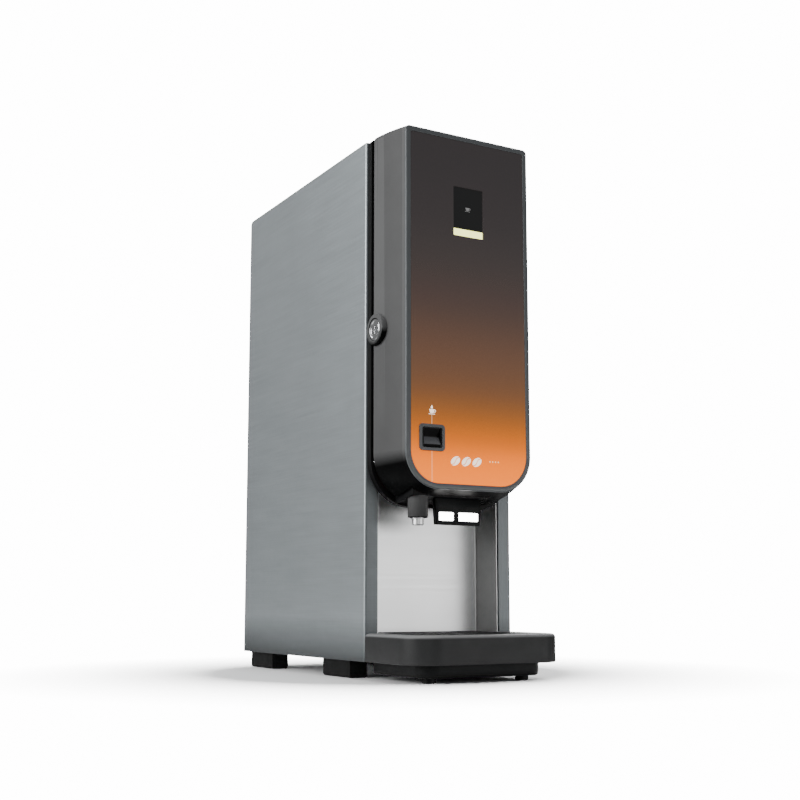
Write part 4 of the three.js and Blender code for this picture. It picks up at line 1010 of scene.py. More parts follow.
# %% Splash panel
splash_low, splash_high = box("splash_panel")
outer, inner, lining = splash_high.x, splash_high.x - 1, 1
splash_plan = outline(
    [
        (-outer, splash_low.y),
        (-inner, splash_low.y),
        (-inner, splash_high.y - lining, 2),
        (inner, splash_high.y - lining, 2),
        (inner, splash_low.y),
        (outer, splash_low.y),
        (outer, splash_high.y, 3),
        (-outer, splash_high.y, 3),
    ]
)
splash = soften(prism("splash_sheet", "z", splash_plan, splash_low.z, splash_high.z), 0.2)
# The splash finish paints shade onto the niche's right wall, which looks left.
calm = {"line_depth": 0.0000003, "contrast": 0.01, "sideways": 0.45, "gloss": 0.06}
splash_steel = metal("splash_steel", BRIGHT_STEEL, 0.36, WALL_LINES, **calm)
finish(splash, splash_steel, "cabinet", "stainless", "splash_panel")

# %% [markdown]
# ## Drip tray
# The tray is a deep moulding: a wide round-cornered front and a narrower tongue that goes
# into the niche. All its levels are the same outline moved inwards, so one list of inset and
# height makes the wall, the soft top edge, the rim that falls towards the middle, the ledge
# for the grille and the basin. A bevel alone couldn't give a rim that slopes.

# %% Tray
tray_low, tray_high = box("drip_tray")
TRAY_CORNER = 33.5
TONGUE_HALF = 74.9
STEP_Y = panel_low.y


def tray_plan(inset, steps=18):
    wide, narrow = tray_high.x - inset, TONGUE_HALF - inset * 4 / 9
    front, back = tray_low.y + inset, tray_high.y - inset * 4 / 9
    step = STEP_Y - max(inset, GAP)
    return outline(
        [
            (-wide, front, TRAY_CORNER - inset),
            (wide, front, TRAY_CORNER - inset),
            (wide, step, 1.5),
            (narrow, step),
            (narrow, back, 2),
            (-narrow, back, 2),
            (-narrow, step),
            (-wide, step, 1.5),
        ],
        steps,
    )


TOP_ROUND = 4
levels = [(0.8, tray_low.z), (0, tray_low.z + 0.8)]
for k in range(7):
    angle = math.radians(15 * k)
    inset, down = TOP_ROUND * (1 - math.cos(angle)), TOP_ROUND * (1 - math.sin(angle))
    levels.append((inset, tray_high.z - down))
DISH = [(8.2, 0.7), (8.9, 1.0), (9.0, 1.6), (9.0, 3.0), (13.0, 3.0), (13.4, 3.6)]
levels += [(inset, tray_high.z - down) for inset, down in DISH]
levels += [(14.0, tray_low.z + 7), (15.5, tray_low.z + 5)]
drip_tray = skin("drip_tray_moulding", [[at("z", p, z) for p in tray_plan(i)] for i, z in levels])
base_top = box("base_plate")[1].z
carve(drip_tray, block("tongue_relief", -95, 95, STEP_Y - GAP, 0, 0, base_top + 0.6))
smooth(drip_tray, 33)
TRAY_GREY = (0.024, 0.0245, 0.025)
# The tray's finish paints a highlight on faces that look up, so its top rim is lighter.
tray_plastic = plastic("tray_plastic", TRAY_GREY, 0.4, top_highlight=7.0, Specular_IOR_Level=0.15)
finish(drip_tray, tray_plastic, "drip_tray", "tray_plastic", "drip_tray")

# %% [markdown]
# ## Rows of copies with Geometry Nodes
# Slots, louvres and ribs are one shape in rows and columns. Copying it in a Python loop
# works, but a node tree keeps the pattern as numbers that can be changed: how many, how far
# apart, and of what. The tree makes a line of points for the rows, puts a line of columns on
# each, puts the piece on every point, realizes the copies and gives them their material.

# %% A tree for rows
def geometry_tree(name, *inputs):
    tree = bpy.data.node_groups.new(name, "GeometryNodeTree")
    tree.interface.new_socket("Geometry", in_out="INPUT", socket_type="NodeSocketGeometry")
    for title, kind in inputs:
        tree.interface.new_socket(title, in_out="INPUT", socket_type="NodeSocket" + kind)
    tree.interface.new_socket("Geometry", in_out="OUTPUT", socket_type="NodeSocketGeometry")
    return tree, add_node(tree, "NodeGroupInput").outputs


def end_tree(tree, instances, material):
    real = add_node(tree, "GeometryNodeRealizeInstances", {0: instances}).outputs[0]
    painted = {"Geometry": real, "Material": material}
    made = add_node(tree, "GeometryNodeSetMaterial", painted).outputs[0]
    add_node(tree, "NodeGroupOutput", {0: made})
    return tree


def rows_tree():
    tree, given = geometry_tree(
        "rows_of_copies",
        ("Piece", "Object"),
        ("Rows", "Int"),
        ("Columns", "Int"),
        ("First", "Vector"),
        ("Row step", "Vector"),
        ("Column step", "Vector"),
        ("Material", "Material"),
    )
    rows = {"Count": given["Rows"], "Start Location": given["First"], "Offset": given["Row step"]}
    columns = {"Count": given["Columns"], "Offset": given["Column step"]}
    row_line = add_node(tree, "GeometryNodeMeshLine", rows).outputs[0]
    column_line = add_node(tree, "GeometryNodeMeshLine", columns).outputs[0]
    lines = {"Points": row_line, "Instance": column_line}
    grid = add_node(tree, "GeometryNodeInstanceOnPoints", lines).outputs[0]
    points = add_node(tree, "GeometryNodeRealizeInstances", {0: grid}).outputs[0]
    shape = add_node(tree, "GeometryNodeObjectInfo", {"Object": given["Piece"]}).outputs["Geometry"]
    places = {"Points": points, "Instance": shape}
    copies = add_node(tree, "GeometryNodeInstanceOnPoints", places).outputs[0]
    return end_tree(tree, copies, given["Material"])


def grow(name, tree, start=None, **values):
    piece = bpy.data.objects.new(name, start or bpy.data.meshes.new(name))
    bpy.context.scene.collection.objects.link(piece)
    modifier = piece.modifiers.new("grow", "NODES")
    modifier.node_group = tree
    items = [item for item in tree.interface.items_tree if item.in_out == "INPUT"]
    sockets = {item.name: item.identifier for item in items}
    for title, value in values.items():
        modifier[sockets[title.replace("_", " ")]] = value
    return settle(piece)


ROWS = rows_tree()


def rows_of(name, piece, rows, columns, first, row_step, column_step, material):
    metres = [tuple(x * MM for x in step) for step in (first, row_step, column_step)]
    made = grow(name, ROWS, Piece=piece, Rows=rows, Columns=columns, First=metres[0],
                Row_step=metres[1], Column_step=metres[2], Material=material)
    bpy.data.objects.remove(piece)
    return made


# %% [markdown]
# ## Drip grille
# The grille is a plate with rows of long slots on either side of a spine. Two runs of the
# tree give the slots, long ones in the wide front and short ones in the tongue, and the
# result is cut out of the plate in one go. The slots have round ends, as a tool would leave.

# %% Grille
grille_low, grille_high = box("drip_grille")
SLOT, PITCH, SPINE = 5.0, 9.2, 3.0
grille = prism("grille_plate", "z", tray_plan(9.6), grille_low.z, grille_high.z)


def slot_pair(rows, reach, first_y):
    centre = (SPINE + reach) / 2
    half = (reach - SPINE) / 2
    stadium = outline(rectangle(-half, half, 0, SLOT, SLOT / 2 - 0.01), 6)
    slot = prism("slot", "z", stadium, grille_low.z - 1, grille_high.z + 1)
    steps = (-centre, first_y, 0), (0, PITCH, 0), (2 * centre, 0, 0)
    return rows_of("slots", slot, rows, 2, *steps, black_plastic)


first_row = tray_low.y + 21
carve(
    grille,
    slot_pair(1, grille_high.x - 21, first_row),
    slot_pair(8, grille_high.x - 9, first_row + PITCH),
    slot_pair(5, TONGUE_HALF - 13, first_row + 9 * PITCH),
)
finish(soften(grille, 0.5), black_plastic, "drip_grille", "black_plastic", "drip_grille")

# %% [markdown]
# ## Tray base and feet
# Under the tray stands a low black base on two pads, and under the cabinet are four rubber
# feet with grooves that keep them from sliding. The base is another stack of one outline at
# several insets. The grooves are a row of blocks from the rows tree, cut out of each foot.

# %% Tray base
under_low, under_high = box("tray_base")
PAD_HEIGHT, PAD_SIDE, PAD_SETBACK = 5.5, 17, 20
BASE_CORNER = 20
pad_top = under_low.z + PAD_HEIGHT


def base_plan(inset):
    half, front, back = under_high.x - inset, under_low.y + inset, under_high.y - inset
    corner = BASE_CORNER - inset
    corners = [(-half, front, corner), (half, front, corner), (half, back, 3), (-half, back, 3)]
    return outline(corners, 16)


base_levels = [(2.4, pad_top), (1.2, pad_top + 0.5), (0.6, pad_top + 1.8), (0, pad_top + 6),
               (0, under_high.z)]
base_rings = [[at("z", p, z) for p in base_plan(i)] for i, z in base_levels]
tray_base = skin("tray_base_moulding", base_rings)
carve(tray_base, prism("hollow", "z", base_plan(4.5), pad_top - 1, under_high.z - 3))
pad_profile = [(6.2, under_low.z), (7, under_low.z + 0.8), (7, under_high.z - 2)]
for side in (-1, 1):
    place = side * (under_high.x - PAD_SIDE), under_low.y + PAD_SETBACK
    fuse(tray_base, turned("pad", "z", pad_profile, *place))
finish(soften(tray_base, 0.4), black_plastic, "cabinet", "black_plastic", "tray_base")

# %% Feet
FOOT_ROUND, GROOVES, GROOVE_START, GROOVE_PITCH = 3.5, 8, 8.2, 7
SOOT = (0.005, 0.005, 0.005)
rubber = plastic("rubber", SOOT, 0.62, 0.0009, 0.00004, wear=0.3, Specular_IOR_Level=0.1)
for node in [f"foot_{row}_{side}" for row in ("front", "rear") for side in ("left", "right")]:
    low, high = box(node)
    section = [(low.x, low.z, FOOT_ROUND), (high.x, low.z, FOOT_ROUND),
               (high.x, high.z), (low.x, high.z)]
    foot = prism(node + "_block", "y", outline(section), low.y, high.y)
    groove = block("groove", low.x - 1, high.x + 1, -1, 1, low.z - 1, low.z + 1)
    steps = (0, low.y + GROOVE_START, 0), (0, GROOVE_PITCH, 0), (0, 0, 0)
    carve(foot, rows_of("grooves", groove, GROOVES, 1, *steps, rubber))
    finish(soften(foot, 0.9, 4), rubber, "cabinet", "rubber", node)

# %% [markdown]
# ## Screws that face any way
# Screws sit on walls that face different ways, and real ones stop at random turns. So each
# screw is a point with a direction stored on it. The tree turns the screw's axis to that
# direction, spins it by a random angle from a fixed seed, and puts it on the point. The
# direction is an attribute of the points, which is how Geometry Nodes passes such data on.

# %% A tree for screws
def screws_tree():
    inputs = ("Screw", "Object"), ("Seed", "Int"), ("Material", "Material")
    tree, given = geometry_tree("screws_on_points", *inputs)
    stored = {"Name": "facing"}
    outward = add_node(tree, "GeometryNodeInputNamedAttribute", stored, data_type="FLOAT_VECTOR")
    axis = {"Vector": outward.outputs[0]}
    aligned = add_node(tree, "FunctionNodeAlignRotationToVector", axis, axis="Z")
    turn = {2: 0.0, 3: math.tau, "Seed": given["Seed"]}
    random = add_node(tree, "FunctionNodeRandomValue", turn, data_type="FLOAT")
    about_z = {"Axis": (0, 0, 1), "Angle": random.outputs[1]}
    spin = add_node(tree, "FunctionNodeAxisAngleToRotation", about_z)
    turns = {"Rotation": aligned.outputs[0], "Rotate By": spin.outputs[0]}
    rotated = add_node(tree, "FunctionNodeRotateRotation", turns, rotation_space="LOCAL")
    shape = add_node(tree, "GeometryNodeObjectInfo", {"Object": given["Screw"]}).outputs["Geometry"]
    places = {"Points": given["Geometry"], "Instance": shape, "Rotation": rotated.outputs[0]}
    copies = add_node(tree, "GeometryNodeInstanceOnPoints", places).outputs[0]
    return end_tree(tree, copies, given["Material"])


SCREWS = screws_tree()
HEAD, HEAD_HIGH, RECESS = 3.2, 1.6, 1.3


def screw_head():
    dome = [(HEAD, -0.3), (HEAD, 0.5), (HEAD * 0.86, 1.2), (HEAD * 0.55, HEAD_HIGH)]
    head = turned("screw", "z", dome, 0, 0, 32)
    for long, wide in ((HEAD * 0.62, 0.45), (0.45, HEAD * 0.62)):
        carve(head, block("recess", -long, long, -wide, wide, HEAD_HIGH - RECESS, HEAD_HIGH + 1))
    return soften(head, 0.12, 2)


def screws(name, body, outward, places, seed):
    start = bpy.data.meshes.new(name)
    start.from_pydata([[x * MM for x in place] for place in places], [], [])
    stored = start.attributes.new("facing", "FLOAT_VECTOR", "POINT")
    for item in stored.data:
        item.vector = outward
    pattern = screw_head()
    made = grow(name, SCREWS, start, Screw=pattern, Seed=seed, Material=chrome)
    bpy.data.objects.remove(pattern)
    return finish(made, chrome, body, "chrome")


def grid_of(columns, rows, y):
    return [(x, y, z) for x in columns for z in rows]


FRONTWARD, BACKWARD = (0, -1, 0), (0, 1, 0)

# %% [markdown]
# ## Latches on the front frame
# Two small bright buttons sit on the black strip beside the door, above and below the lock.
# The rest of the frame is held by screws that show when the door is open.

# %% Latch buttons and frame screws
LATCH_SIDE, LATCH_LIFTS = 5.5, {"lower": -141, "upper": 33}
FRAME_SCREWS_X, FRAME_SCREWS_Z = (-81, 81), (245, 300, 430, 520, 572)
front = frame_low.y
profile = [(2.4, front + 0.3), (2.4, front - 1.4), (1.9, front - 2), (0.6, front - 2.1)]
for place, lift in LATCH_LIFTS.items():
    button = turned(f"latch_{place}", "y", profile, LATCH_SIDE - frame_half, lock_z + lift, 32)
    finish(soften(button, 0.15), chrome, "cabinet", "chrome")
frame_rows = [z for z in FRAME_SCREWS_Z if abs(z - upper_arm) > 20]
screws("frame_screws", "cabinet", FRONTWARD, grid_of(FRAME_SCREWS_X, frame_rows, front), 3)

# %% [markdown]
# ## Rear panel
# The rear panel is a plain sheet with rows of vent slots. Over each slot stands a louvre, a
# small roof pressed out of the sheet that keeps drips out and lets warm air rise. One louvre
# is modelled as a wedge with a smaller wedge taken out of it, and the tree repeats it.

# %% Rear panel
VENT_ROWS, VENT_HEIGHT, VENT_PITCH, VENT_DROP, VENT_NEAR, VENT_FAR = 9, 5, 11, 30, 8, 69.2
LOUVRE_OUT, LOUVRE_PROUD, TAP_HOLE = 2.6, 2.4, 10.3
rear_low, rear_high = box("rear_panel")
inlet_low, inlet_high = box("power_inlet")
water_low, water_high = box("water_inlet")
tap_x, tap_z = (water_low.x + water_high.x) / 2, (water_low.z + water_high.z) / 2
back = rear_high.y
vent_x, vent_half = (VENT_FAR + VENT_NEAR) / 2, (VENT_FAR - VENT_NEAR) / 2
vent_top = rear_high.z - VENT_DROP
through = rear_low.y - 1, back + 1
vent = block("vent", -vent_half, vent_half, *through, vent_top - VENT_HEIGHT, vent_top)
vent_steps = (-vent_x, 0, 0), (0, 0, -VENT_PITCH), (2 * vent_x, 0, 0)
vents = rows_of("vents", vent, VENT_ROWS, 2, *vent_steps, zinc)
sheet = outline(rectangle(rear_low.x, rear_high.x, rear_low.z, rear_high.z))
rear_panel = prism("rear_panel_sheet", "y", sheet, rear_low.y, back)
socket = rectangle(inlet_low.x + 2, inlet_high.x - 2, inlet_low.z + 2, inlet_high.z - 2)
socket_hole = prism("socket", "y", outline(socket), *through)
carve(rear_panel, vents, socket_hole, rod("water", "y", TAP_HOLE, *through, tap_x, tap_z))
finish(rear_panel, zinc, "cabinet", "zinc", "rear_panel")

# %% Louvres
roof_top, out = vent_top + LOUVRE_PROUD, back + LOUVRE_OUT
outside = [(back - 0.1, roof_top), (back + LOUVRE_OUT * 0.8, roof_top - 3, 1),
           (out, roof_top - 7.4), (back - 0.1, roof_top - 7.4)]
inside = [(back - 1, roof_top - 1.4), (out - 1.2, roof_top - 4), (out - 0.8, roof_top - 9),
          (back - 1, roof_top - 9)]
louvre = prism("louvre", "x", outline(outside, 4), -vent_half - 1, vent_half + 1)
carve(louvre, prism("inside", "x", outline(inside, 4), -vent_half, vent_half))
soften(louvre, 0.2, 2)
louvres = rows_of("vent_louvres", louvre, VENT_ROWS, 2, *vent_steps, zinc)
finish(louvres, zinc, "cabinet", "zinc")
REAR_SCREWS_X, REAR_SCREWS_Z, REAR_MIDDLE_Z = (-85, 85), (30, 160, 300, 420, 545), (30, 551)
rear_places = grid_of(REAR_SCREWS_X, REAR_SCREWS_Z, back) + grid_of([0], REAR_MIDDLE_Z, back)
screws("rear_screws", "cabinet", BACKWARD, rear_places, 11)

# %% [markdown]
# ## Mains inlet
# The mains inlet is a black socket with three brass blades deep in it, and the rocker switch
# sits above it on the same plate. The switch rides on its own body, because it rocks. The
# blades are one piece of their own, since they are another material.

# %% Mains inlet and switch
finish(copy_of("power_inlet", 0.5), black_plastic, "cabinet", "black_plastic", "power_inlet")
finish(copy_of("main_switch", 0.7), gloss_black, "main_switch", "gloss_black", "main_switch")
socket_x, socket_z = (inlet_low.x + inlet_high.x) / 2, inlet_low.z + 15
brass = metal("brass", (0.62, 0.47, 0.24), 0.28, FINE_GRAIN, 0.000003, 0.08)
BLADES, BLADE_HALF = [(-6.5, -2), (6.5, -2), (0, 3.5)], (0.8, 2)
wide, tall = BLADE_HALF
centres = [(socket_x + x, socket_z + z) for x, z in BLADES]
blades = [outline(rectangle(x - wide, x + wide, z - tall, z + tall)) for x, z in centres]
blades = [prism("blade", "y", blade, back - 17, back - 3) for blade in blades]
socket_blades = soften(fuse(*blades), 0.4)
socket_blades.name = "socket_blades"
finish(socket_blades, brass, "cabinet", "brass")
INLET_FACE, INLET_SCREWS_Z = inlet_low.y + 25.9, (inlet_low.z + 3, inlet_high.z - 4)
screws("inlet_screws", "cabinet", BACKWARD, grid_of([socket_x], INLET_SCREWS_Z, INLET_FACE), 5)

# %% [markdown]
# ## Water inlet
# The water hose screws on at the back. The thread is drawn as rings rather than a spiral: at
# this pitch the eye can't tell, and rings close on themselves, so the body stays watertight.
# The rows tree repeats one ring down the pipe.

# %% Water inlet
finish(copy_of("water_inlet", 0.4), brass, "cabinet", "brass", "water_inlet")
THREAD_PITCH, THREAD_LENGTH, RIDGE_FOOT, RIDGE_TOP = 1.4, 7.4, 9.7, 10.55
ridge_profile = [(RIDGE_FOOT, -0.55), (RIDGE_TOP, -0.12), (RIDGE_TOP, 0.12), (RIDGE_FOOT, 0.55)]
ridge = turned("ridge", "y", ridge_profile, tap_x, tap_z, 64, loop=True)
thread_steps = (0, water_high.y - THREAD_LENGTH, 0), (0, THREAD_PITCH, 0), (0, 0, 0)
thread = rows_of("inlet_thread", ridge, 5, 1, *thread_steps, brass)
finish(thread, brass, "cabinet", "brass")

# %% [markdown]
# ## Inside of the door
# The liner closes the door's back. Ribs stiffen it, and a vented cover hides the display's
# board. The ribs and the cover's vents come from the rows tree: one adds them to the liner,
# the other is cut out of the cover.

# %% Liner and ribs
liner_face = box("door_liner")[1].y
liner_plastic = plastic("liner_plastic", (0.03, 0.031, 0.032), 0.5, wear=0.2)
finish(copy_of("door_liner", 0.3), liner_plastic, "door", "black_plastic", "door_liner")
RIBS, RIB_FIRST, RIB_PITCH, RIB_HALF = 8, 322, 15, 56
foot, crest = liner_face - 0.2, liner_face + 2.6
rib_section = outline([(foot, -1.6), (crest, -0.9, 0.5), (crest, 0.9, 0.5), (foot, 1.6)], 3)
rib = prism("rib", "x", rib_section, -RIB_HALF, RIB_HALF)
rib_steps = (0, 0, RIB_FIRST), (0, 0, RIB_PITCH), (0, 0, 0)
ribs = rows_of("liner_ribs", rib, RIBS, 1, *rib_steps, liner_plastic)
finish(ribs, liner_plastic, "door", "black_plastic")

# %% Display cover
COVER, COVER_DEEP = rectangle(-36, 36, 452, 548, 5), 9
COVER_VENT, COVER_VENTS = (-14, 14, 0, 2.4, 1.19), 6
COVER_VENT_STEPS = (0, 0, 508), (0, 0, 5.2), (0, 0, 0)
cover_face = liner_face + COVER_DEEP
cover = prism("display_cover", "y", outline(COVER), liner_face - 0.3, cover_face)
vent = prism("vent", "y", outline(rectangle(*COVER_VENT), 4), cover_face - 3, cover_face + 1)
carve(cover, rows_of("vents", vent, COVER_VENTS, 1, *COVER_VENT_STEPS, liner_plastic))
finish(soften(cover, 0.9), liner_plastic, "door", "black_plastic")
screws("cover_screws", "door", BACKWARD, grid_of((-30, 30), (458, 542), cover_face), 7)
screws("liner_screws", "door", BACKWARD, grid_of((-75, 75), (250, 410, 500, 572), liner_face), 9)

# %% [markdown]
# ## Cable that follows a path
# The display's cable leaves the cover, runs along the liner and goes back into the door. Its
# tree turns a path of points into a curve, rounds the corners by a radius and sweeps a circle
# along it, with caps at both ends.

# %% A tree for cables
def cable_tree():
    inputs = (("Thickness", "Float"), ("Corner", "Float"), ("Material", "Material"))
    tree, given = geometry_tree("cable_on_path", *inputs)
    path = add_node(tree, "GeometryNodeMeshToCurve", {0: given["Geometry"]}).outputs[0]
    corners = {"Curve": path, "Radius": given["Corner"], "Count": 8}
    rounded = add_node(tree, "GeometryNodeFilletCurve", corners, mode="POLY").outputs[0]
    ring = {"Resolution": 16, "Radius": given["Thickness"]}
    section = add_node(tree, "GeometryNodeCurvePrimitiveCircle", ring).outputs[0]
    swept = {"Curve": rounded, "Profile Curve": section, "Fill Caps": True}
    body = add_node(tree, "GeometryNodeCurveToMesh", swept).outputs[0]
    return end_tree(tree, body, given["Material"])


CABLES = cable_tree()


def cable(name, path, thickness, corner, material):
    start = bpy.data.meshes.new(name)
    edges = [(i, i + 1) for i in range(len(path) - 1)]
    start.from_pydata([[x * MM for x in point] for point in path], edges, [])
    sizes = {"Thickness": thickness * MM, "Corner": corner * MM, "Material": material}
    return smooth(grow(name, CABLES, start, **sizes), 60)


CABLE_RADIUS, CABLE_BEND = 2.2, 6
along = liner_face + 3.2
loom = [(35, along, 470), (52, along, 470), (66, along, 484), (66, along, 540),
        (66, liner_face - 0.5, 552)]
display_cable = cable("display_cable", loom, CABLE_RADIUS, CABLE_BEND, rubber)
finish(display_cable, rubber, "door", "rubber")

# %% [markdown]
# ## Inside of the cabinet
# Behind the door a steel bulkhead carries the canister's shelf, the mixing bowl and the fan.
# The sheets keep their CAD shapes. Screws and a wire guard over the fan make the open
# machine read as assembled. The guard is one circle, repeated and scaled by its rank, on
# four spokes that the cable tree draws.

# %% Bulkhead, deck and shelf
for node in ("bulkhead", "deck_plate", "canister_shelf"):
    finish(copy_of(node, 0), stainless, "cabinet", "stainless", node)

# %% A tree for wire rings
def rings_tree():
    lengths = [(title, "Float") for title in ("First", "Step", "Wire")]
    inputs = (("Rings", "Int"), *lengths, ("Centre", "Vector"), ("Material", "Material"))
    tree, given = geometry_tree("rings_of_wire", *inputs)
    rank = add_node(tree, "GeometryNodeInputIndex").outputs[0]
    sizes = {0: rank, 1: given["Step"], 2: given["First"]}
    grown = add_node(tree, "ShaderNodeMath", sizes, operation="MULTIPLY_ADD").outputs[0]
    count = {"Count": given["Rings"], "Offset": (0, 0, 0)}
    points = add_node(tree, "GeometryNodeMeshLine", count).outputs[0]
    unit = {"Resolution": 64, "Radius": 1.0}
    one = add_node(tree, "GeometryNodeCurvePrimitiveCircle", unit).outputs[0]
    rings = {"Points": points, "Instance": one, "Scale": grown}
    placed = add_node(tree, "GeometryNodeInstanceOnPoints", rings).outputs[0]
    loose = add_node(tree, "GeometryNodeRealizeInstances", {0: placed}).outputs[0]
    round_wire = {"Resolution": 12, "Radius": given["Wire"]}
    section = add_node(tree, "GeometryNodeCurvePrimitiveCircle", round_wire).outputs[0]
    wire = {"Curve": loose, "Profile Curve": section}
    swept = add_node(tree, "GeometryNodeCurveToMesh", wire).outputs[0]
    stood = {"Geometry": swept, "Translation": given["Centre"], "Rotation": (math.pi / 2, 0, 0)}
    upright = add_node(tree, "GeometryNodeTransform", stood).outputs[0]
    return end_tree(tree, upright, given["Material"])


# %% Fan guard and bulkhead screws
wall_y = box("bulkhead")[0].y
fan_low, fan_high = box("fan_housing")
fan_x, fan_z = (fan_low.x + fan_high.x) / 2, (fan_low.z + fan_high.z) / 2
RINGS, RING_STEP, WIRE = 5, 5, 0.8
SPOKES, SPOKE_REACH, SPOKE_HUB = 4, 31, 0.12
FAN_SCREW, WALL_SCREWS_X, WALL_SCREWS_Z = 26, (-78, 78), (240, 320, 420, 520, 572)
guard_y = wall_y - WIRE
guard = grow("fan_guard", rings_tree(), Rings=RINGS, First=RING_STEP * MM, Step=RING_STEP * MM,
             Wire=WIRE * MM, Centre=(fan_x * MM, guard_y * MM, fan_z * MM), Material=chrome)
guard.data.shade_smooth()
finish(guard, chrome, "cabinet", "chrome")
for i in range(SPOKES):
    angle = math.pi / 4 + math.tau * i / SPOKES
    across, up = SPOKE_REACH * math.cos(angle), SPOKE_REACH * math.sin(angle)
    spoke = [(fan_x + across * share, guard_y, fan_z + up * share) for share in (SPOKE_HUB, 1)]
    finish(cable(f"guard_spoke_{i + 1}", spoke, WIRE, 0.1, chrome), chrome, "cabinet", "chrome")
wall_places = grid_of(WALL_SCREWS_X, WALL_SCREWS_Z, wall_y)
fan_columns, fan_rows = [(middle - FAN_SCREW, middle + FAN_SCREW) for middle in (fan_x, fan_z)]
wall_places += grid_of(fan_columns, fan_rows, wall_y)
screws("bulkhead_screws", "cabinet", FRONTWARD, wall_places, 13)

# %% [markdown]
# ## Canister
# The canister is smoky and clear, so the level of powder and the auger can be seen. Clear
# plastic is a transmissive surface with a little roughness; the wall has real thickness, so
# it bends the light as the moulding would. The white parts are food-safe plastic, which
# lets light in a little: subsurface scattering keeps them from looking like plaster.

# %% Canister and mixing parts
smoky, tree, inputs = new_finish("canister_plastic", 0.12, Transmission_Weight=0.82, IOR=1.49)
SMOKE, SMOKE_PALE = (0.50, 0.52, 0.53, 1), (0.58, 0.60, 0.61, 1)
cloud = between(tree, noise(tree, 0.07), 0, 1)
tree.links.new(mix_colours(tree, cloud, SMOKE, SMOKE_PALE), inputs["Base Color"])
tree.links.new(between(tree, noise(tree, 0.02), 0.09, 0.16), inputs["Roughness"])
tree.links.new(bump(tree, noise(tree, 0.004), 0.00003), inputs["Normal"])
finish(copy_of("canister", 0.6), smoky, "canister", "canister_plastic", "canister")
white_plastic = plastic("white_plastic", (0.66, 0.66, 0.64), 0.34, wear=0.1, Subsurface_Weight=0.15)
lid_low, lid_high = box("canister_lid")
lid = copy_of("canister_lid", 1.0)
dish = outline(rectangle(lid_low.x + 6, lid_high.x - 6, lid_low.y + 6, lid_high.y - 6, 4))
carve(lid, prism("dish", "z", dish, lid_high.z - 1.2, lid_high.z + 1))
finish(soften(lid, 0.3, 2), white_plastic, "canister_lid", "white_plastic", "canister_lid")
MIXING = [("canister_elbow", "canister_elbow"), ("auger", "auger"), ("mixing_bowl", "cabinet"),
          ("whipper_impeller", "whipper_impeller")]
for node, body in MIXING:
    finish(copy_of(node, 0.4), white_plastic, body, "white_plastic", node)

# %% [markdown]
# ## Hidden machinery
# Everything else sits behind the bulkhead or under the deck. It is copied from the CAD with
# softened edges, so that it is right if the panels ever come off. Each has the finish it
# would be bought with: cast zinc, brass fittings, copper pipe, silicone hose, a green board.

# %% Machinery
copper = metal("copper", (0.70, 0.36, 0.22), 0.3, FINE_GRAIN, 0.000003, 0.1)
hose = plastic("hose", (0.55, 0.54, 0.50), 0.45, 0.002, 0.00003, wear=0.1)
board = plastic("board", (0.02, 0.085, 0.04), 0.4, 0.0012, 0.00005, wear=0.05)
HIDDEN = [
    ("base_plate", zinc, "cabinet", "zinc"),
    ("auger_motor", zinc, "cabinet", "zinc"),
    ("whipper_motor", zinc, "cabinet", "zinc"),
    ("power_supply", zinc, "cabinet", "zinc"),
    ("drive_dog", zinc, "drive_dog", "zinc"),
    ("boiler_tank", stainless, "cabinet", "stainless"),
    ("boiler_lid", stainless, "cabinet", "stainless"),
    ("heating_element", copper, "cabinet", "copper"),
    ("inlet_pipe", copper, "cabinet", "copper"),
    ("hot_water_valve", brass, "cabinet", "brass"),
    ("brew_valve", brass, "cabinet", "brass"),
    ("inlet_valve", brass, "cabinet", "brass"),
    ("hot_water_pipe", hose, "cabinet", "hose"),
    ("brew_pipe", hose, "cabinet", "hose"),
    ("fan_housing", black_plastic, "cabinet", "black_plastic"),
    ("fan_rotor", black_plastic, "fan_rotor", "black_plastic"),
    ("control_board", board, "cabinet", "board"),
]
for node, material, body, slot in HIDDEN:
    finish(copy_of(node, 0.25), material, body, slot, node)

# %% [markdown]
# ## Floor
# The stage is a plain pale floor that fades into a pale background, so no horizon line cuts
# behind the machine. The fade is a mix with a transparent shader, by the distance from the
# machine, so the shadows under it stay.

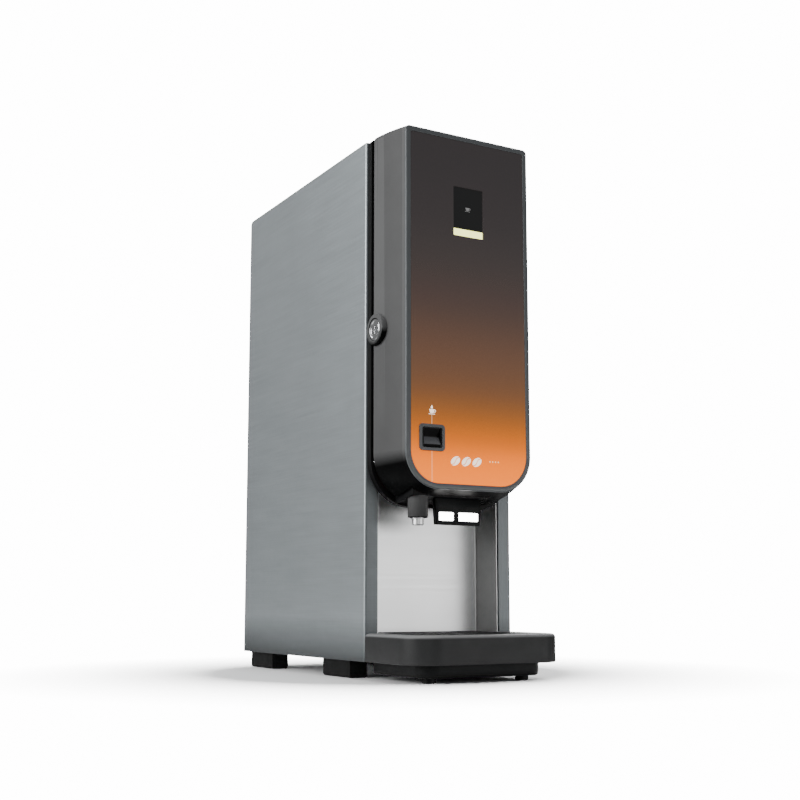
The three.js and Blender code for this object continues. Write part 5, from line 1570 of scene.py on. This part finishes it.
# %% Floor
FLOOR_RADIUS = 4000
FADE = (0.2, 0.48)
shape = bmesh.new()
bmesh.ops.create_circle(shape, cap_ends=True, segments=96, radius=FLOOR_RADIUS * MM)
floor = new_piece("floor", shape)
floor_paint, tree, inputs = new_finish("floor_paint", 0.55)
place = add_node(tree, "ShaderNodeTexCoord").outputs["Object"]
far = add_node(tree, "ShaderNodeVectorMath", {0: place}, operation="LENGTH").outputs["Value"]
fade = between(tree, far, 0, 1, *FADE)
cloud = between(tree, noise(tree, 0.4), 0.86, 0.9)
tree.links.new(scaled(tree, (1, 1, 1), cloud), inputs["Base Color"])
clear = add_node(tree, "ShaderNodeBsdfTransparent").outputs[0]
principled = tree.nodes["Principled BSDF"].outputs[0]
mixed = add_node(tree, "ShaderNodeMixShader", {0: fade, 1: principled, 2: clear}).outputs[0]
tree.links.new(mixed, tree.nodes["Material Output"].inputs["Surface"])
floor.data.materials.append(floor_paint)

# %% [markdown]
# ## Light and air
# The air is bright where the camera sees it and dim as a light, so that the soft boxes shape
# the machine. They stand at the left, above, behind and in front. None stands where the
# glass would mirror it into the camera, since that would wash out the printed colours. A
# low card at the front right lifts the tray and the front edge of the right wall.

# %% Light
AIR_SEEN, AIR_LIGHT = 15, 0.2
world = bpy.data.worlds.new("studio_air")
bpy.context.scene.world = world
world.use_nodes = True
seen = add_node(world.node_tree, "ShaderNodeLightPath").outputs["Is Camera Ray"]
level = between(world.node_tree, seen, AIR_LIGHT, AIR_SEEN, 0, 1)
world.node_tree.links.new(level, world.node_tree.nodes["Background"].inputs["Strength"])
world.node_tree.nodes["Background"].inputs["Color"].default_value = (1, 1, 1, 1)


def soft_box(name, place, target, width, height, power):
    light = bpy.data.lights.new(name, "AREA")
    light.shape = "RECTANGLE"
    light.size, light.size_y, light.energy = width, height, power
    lamp = bpy.data.objects.new(name, light)
    lamp.location = place
    lamp.rotation_euler = (Vector(target) - Vector(place)).to_track_quat("-Z", "Y").to_euler()
    bpy.context.scene.collection.objects.link(lamp)


MIDDLE, TRAY = (0, -0.02, 0.3), (0, -0.1, 0.12)
SOFT_BOXES = [
    # name, place, target, width and height in metres, power in watts
    ("key_box", (-2.5, 0.1, 1.2), MIDDLE, 1.8, 1.8, 80),
    ("top_box", (0.1, 0.1, 2.3), MIDDLE, 1.8, 1.8, 56),
    ("front_box", (-0.9, -2.4, 1.0), MIDDLE, 1.2, 1.4, 9),
    ("back_box", (1.6, 1.9, 1.4), MIDDLE, 1.6, 1.6, 40),
    ("low_card", (0.95, -1.42, 0.16), TRAY, 1.4, 0.32, 5),
]
for soft in SOFT_BOXES:
    soft_box(*soft)
print("soft boxes:", len(SOFT_BOXES), "and", sum(soft[-1] for soft in SOFT_BOXES), "W")
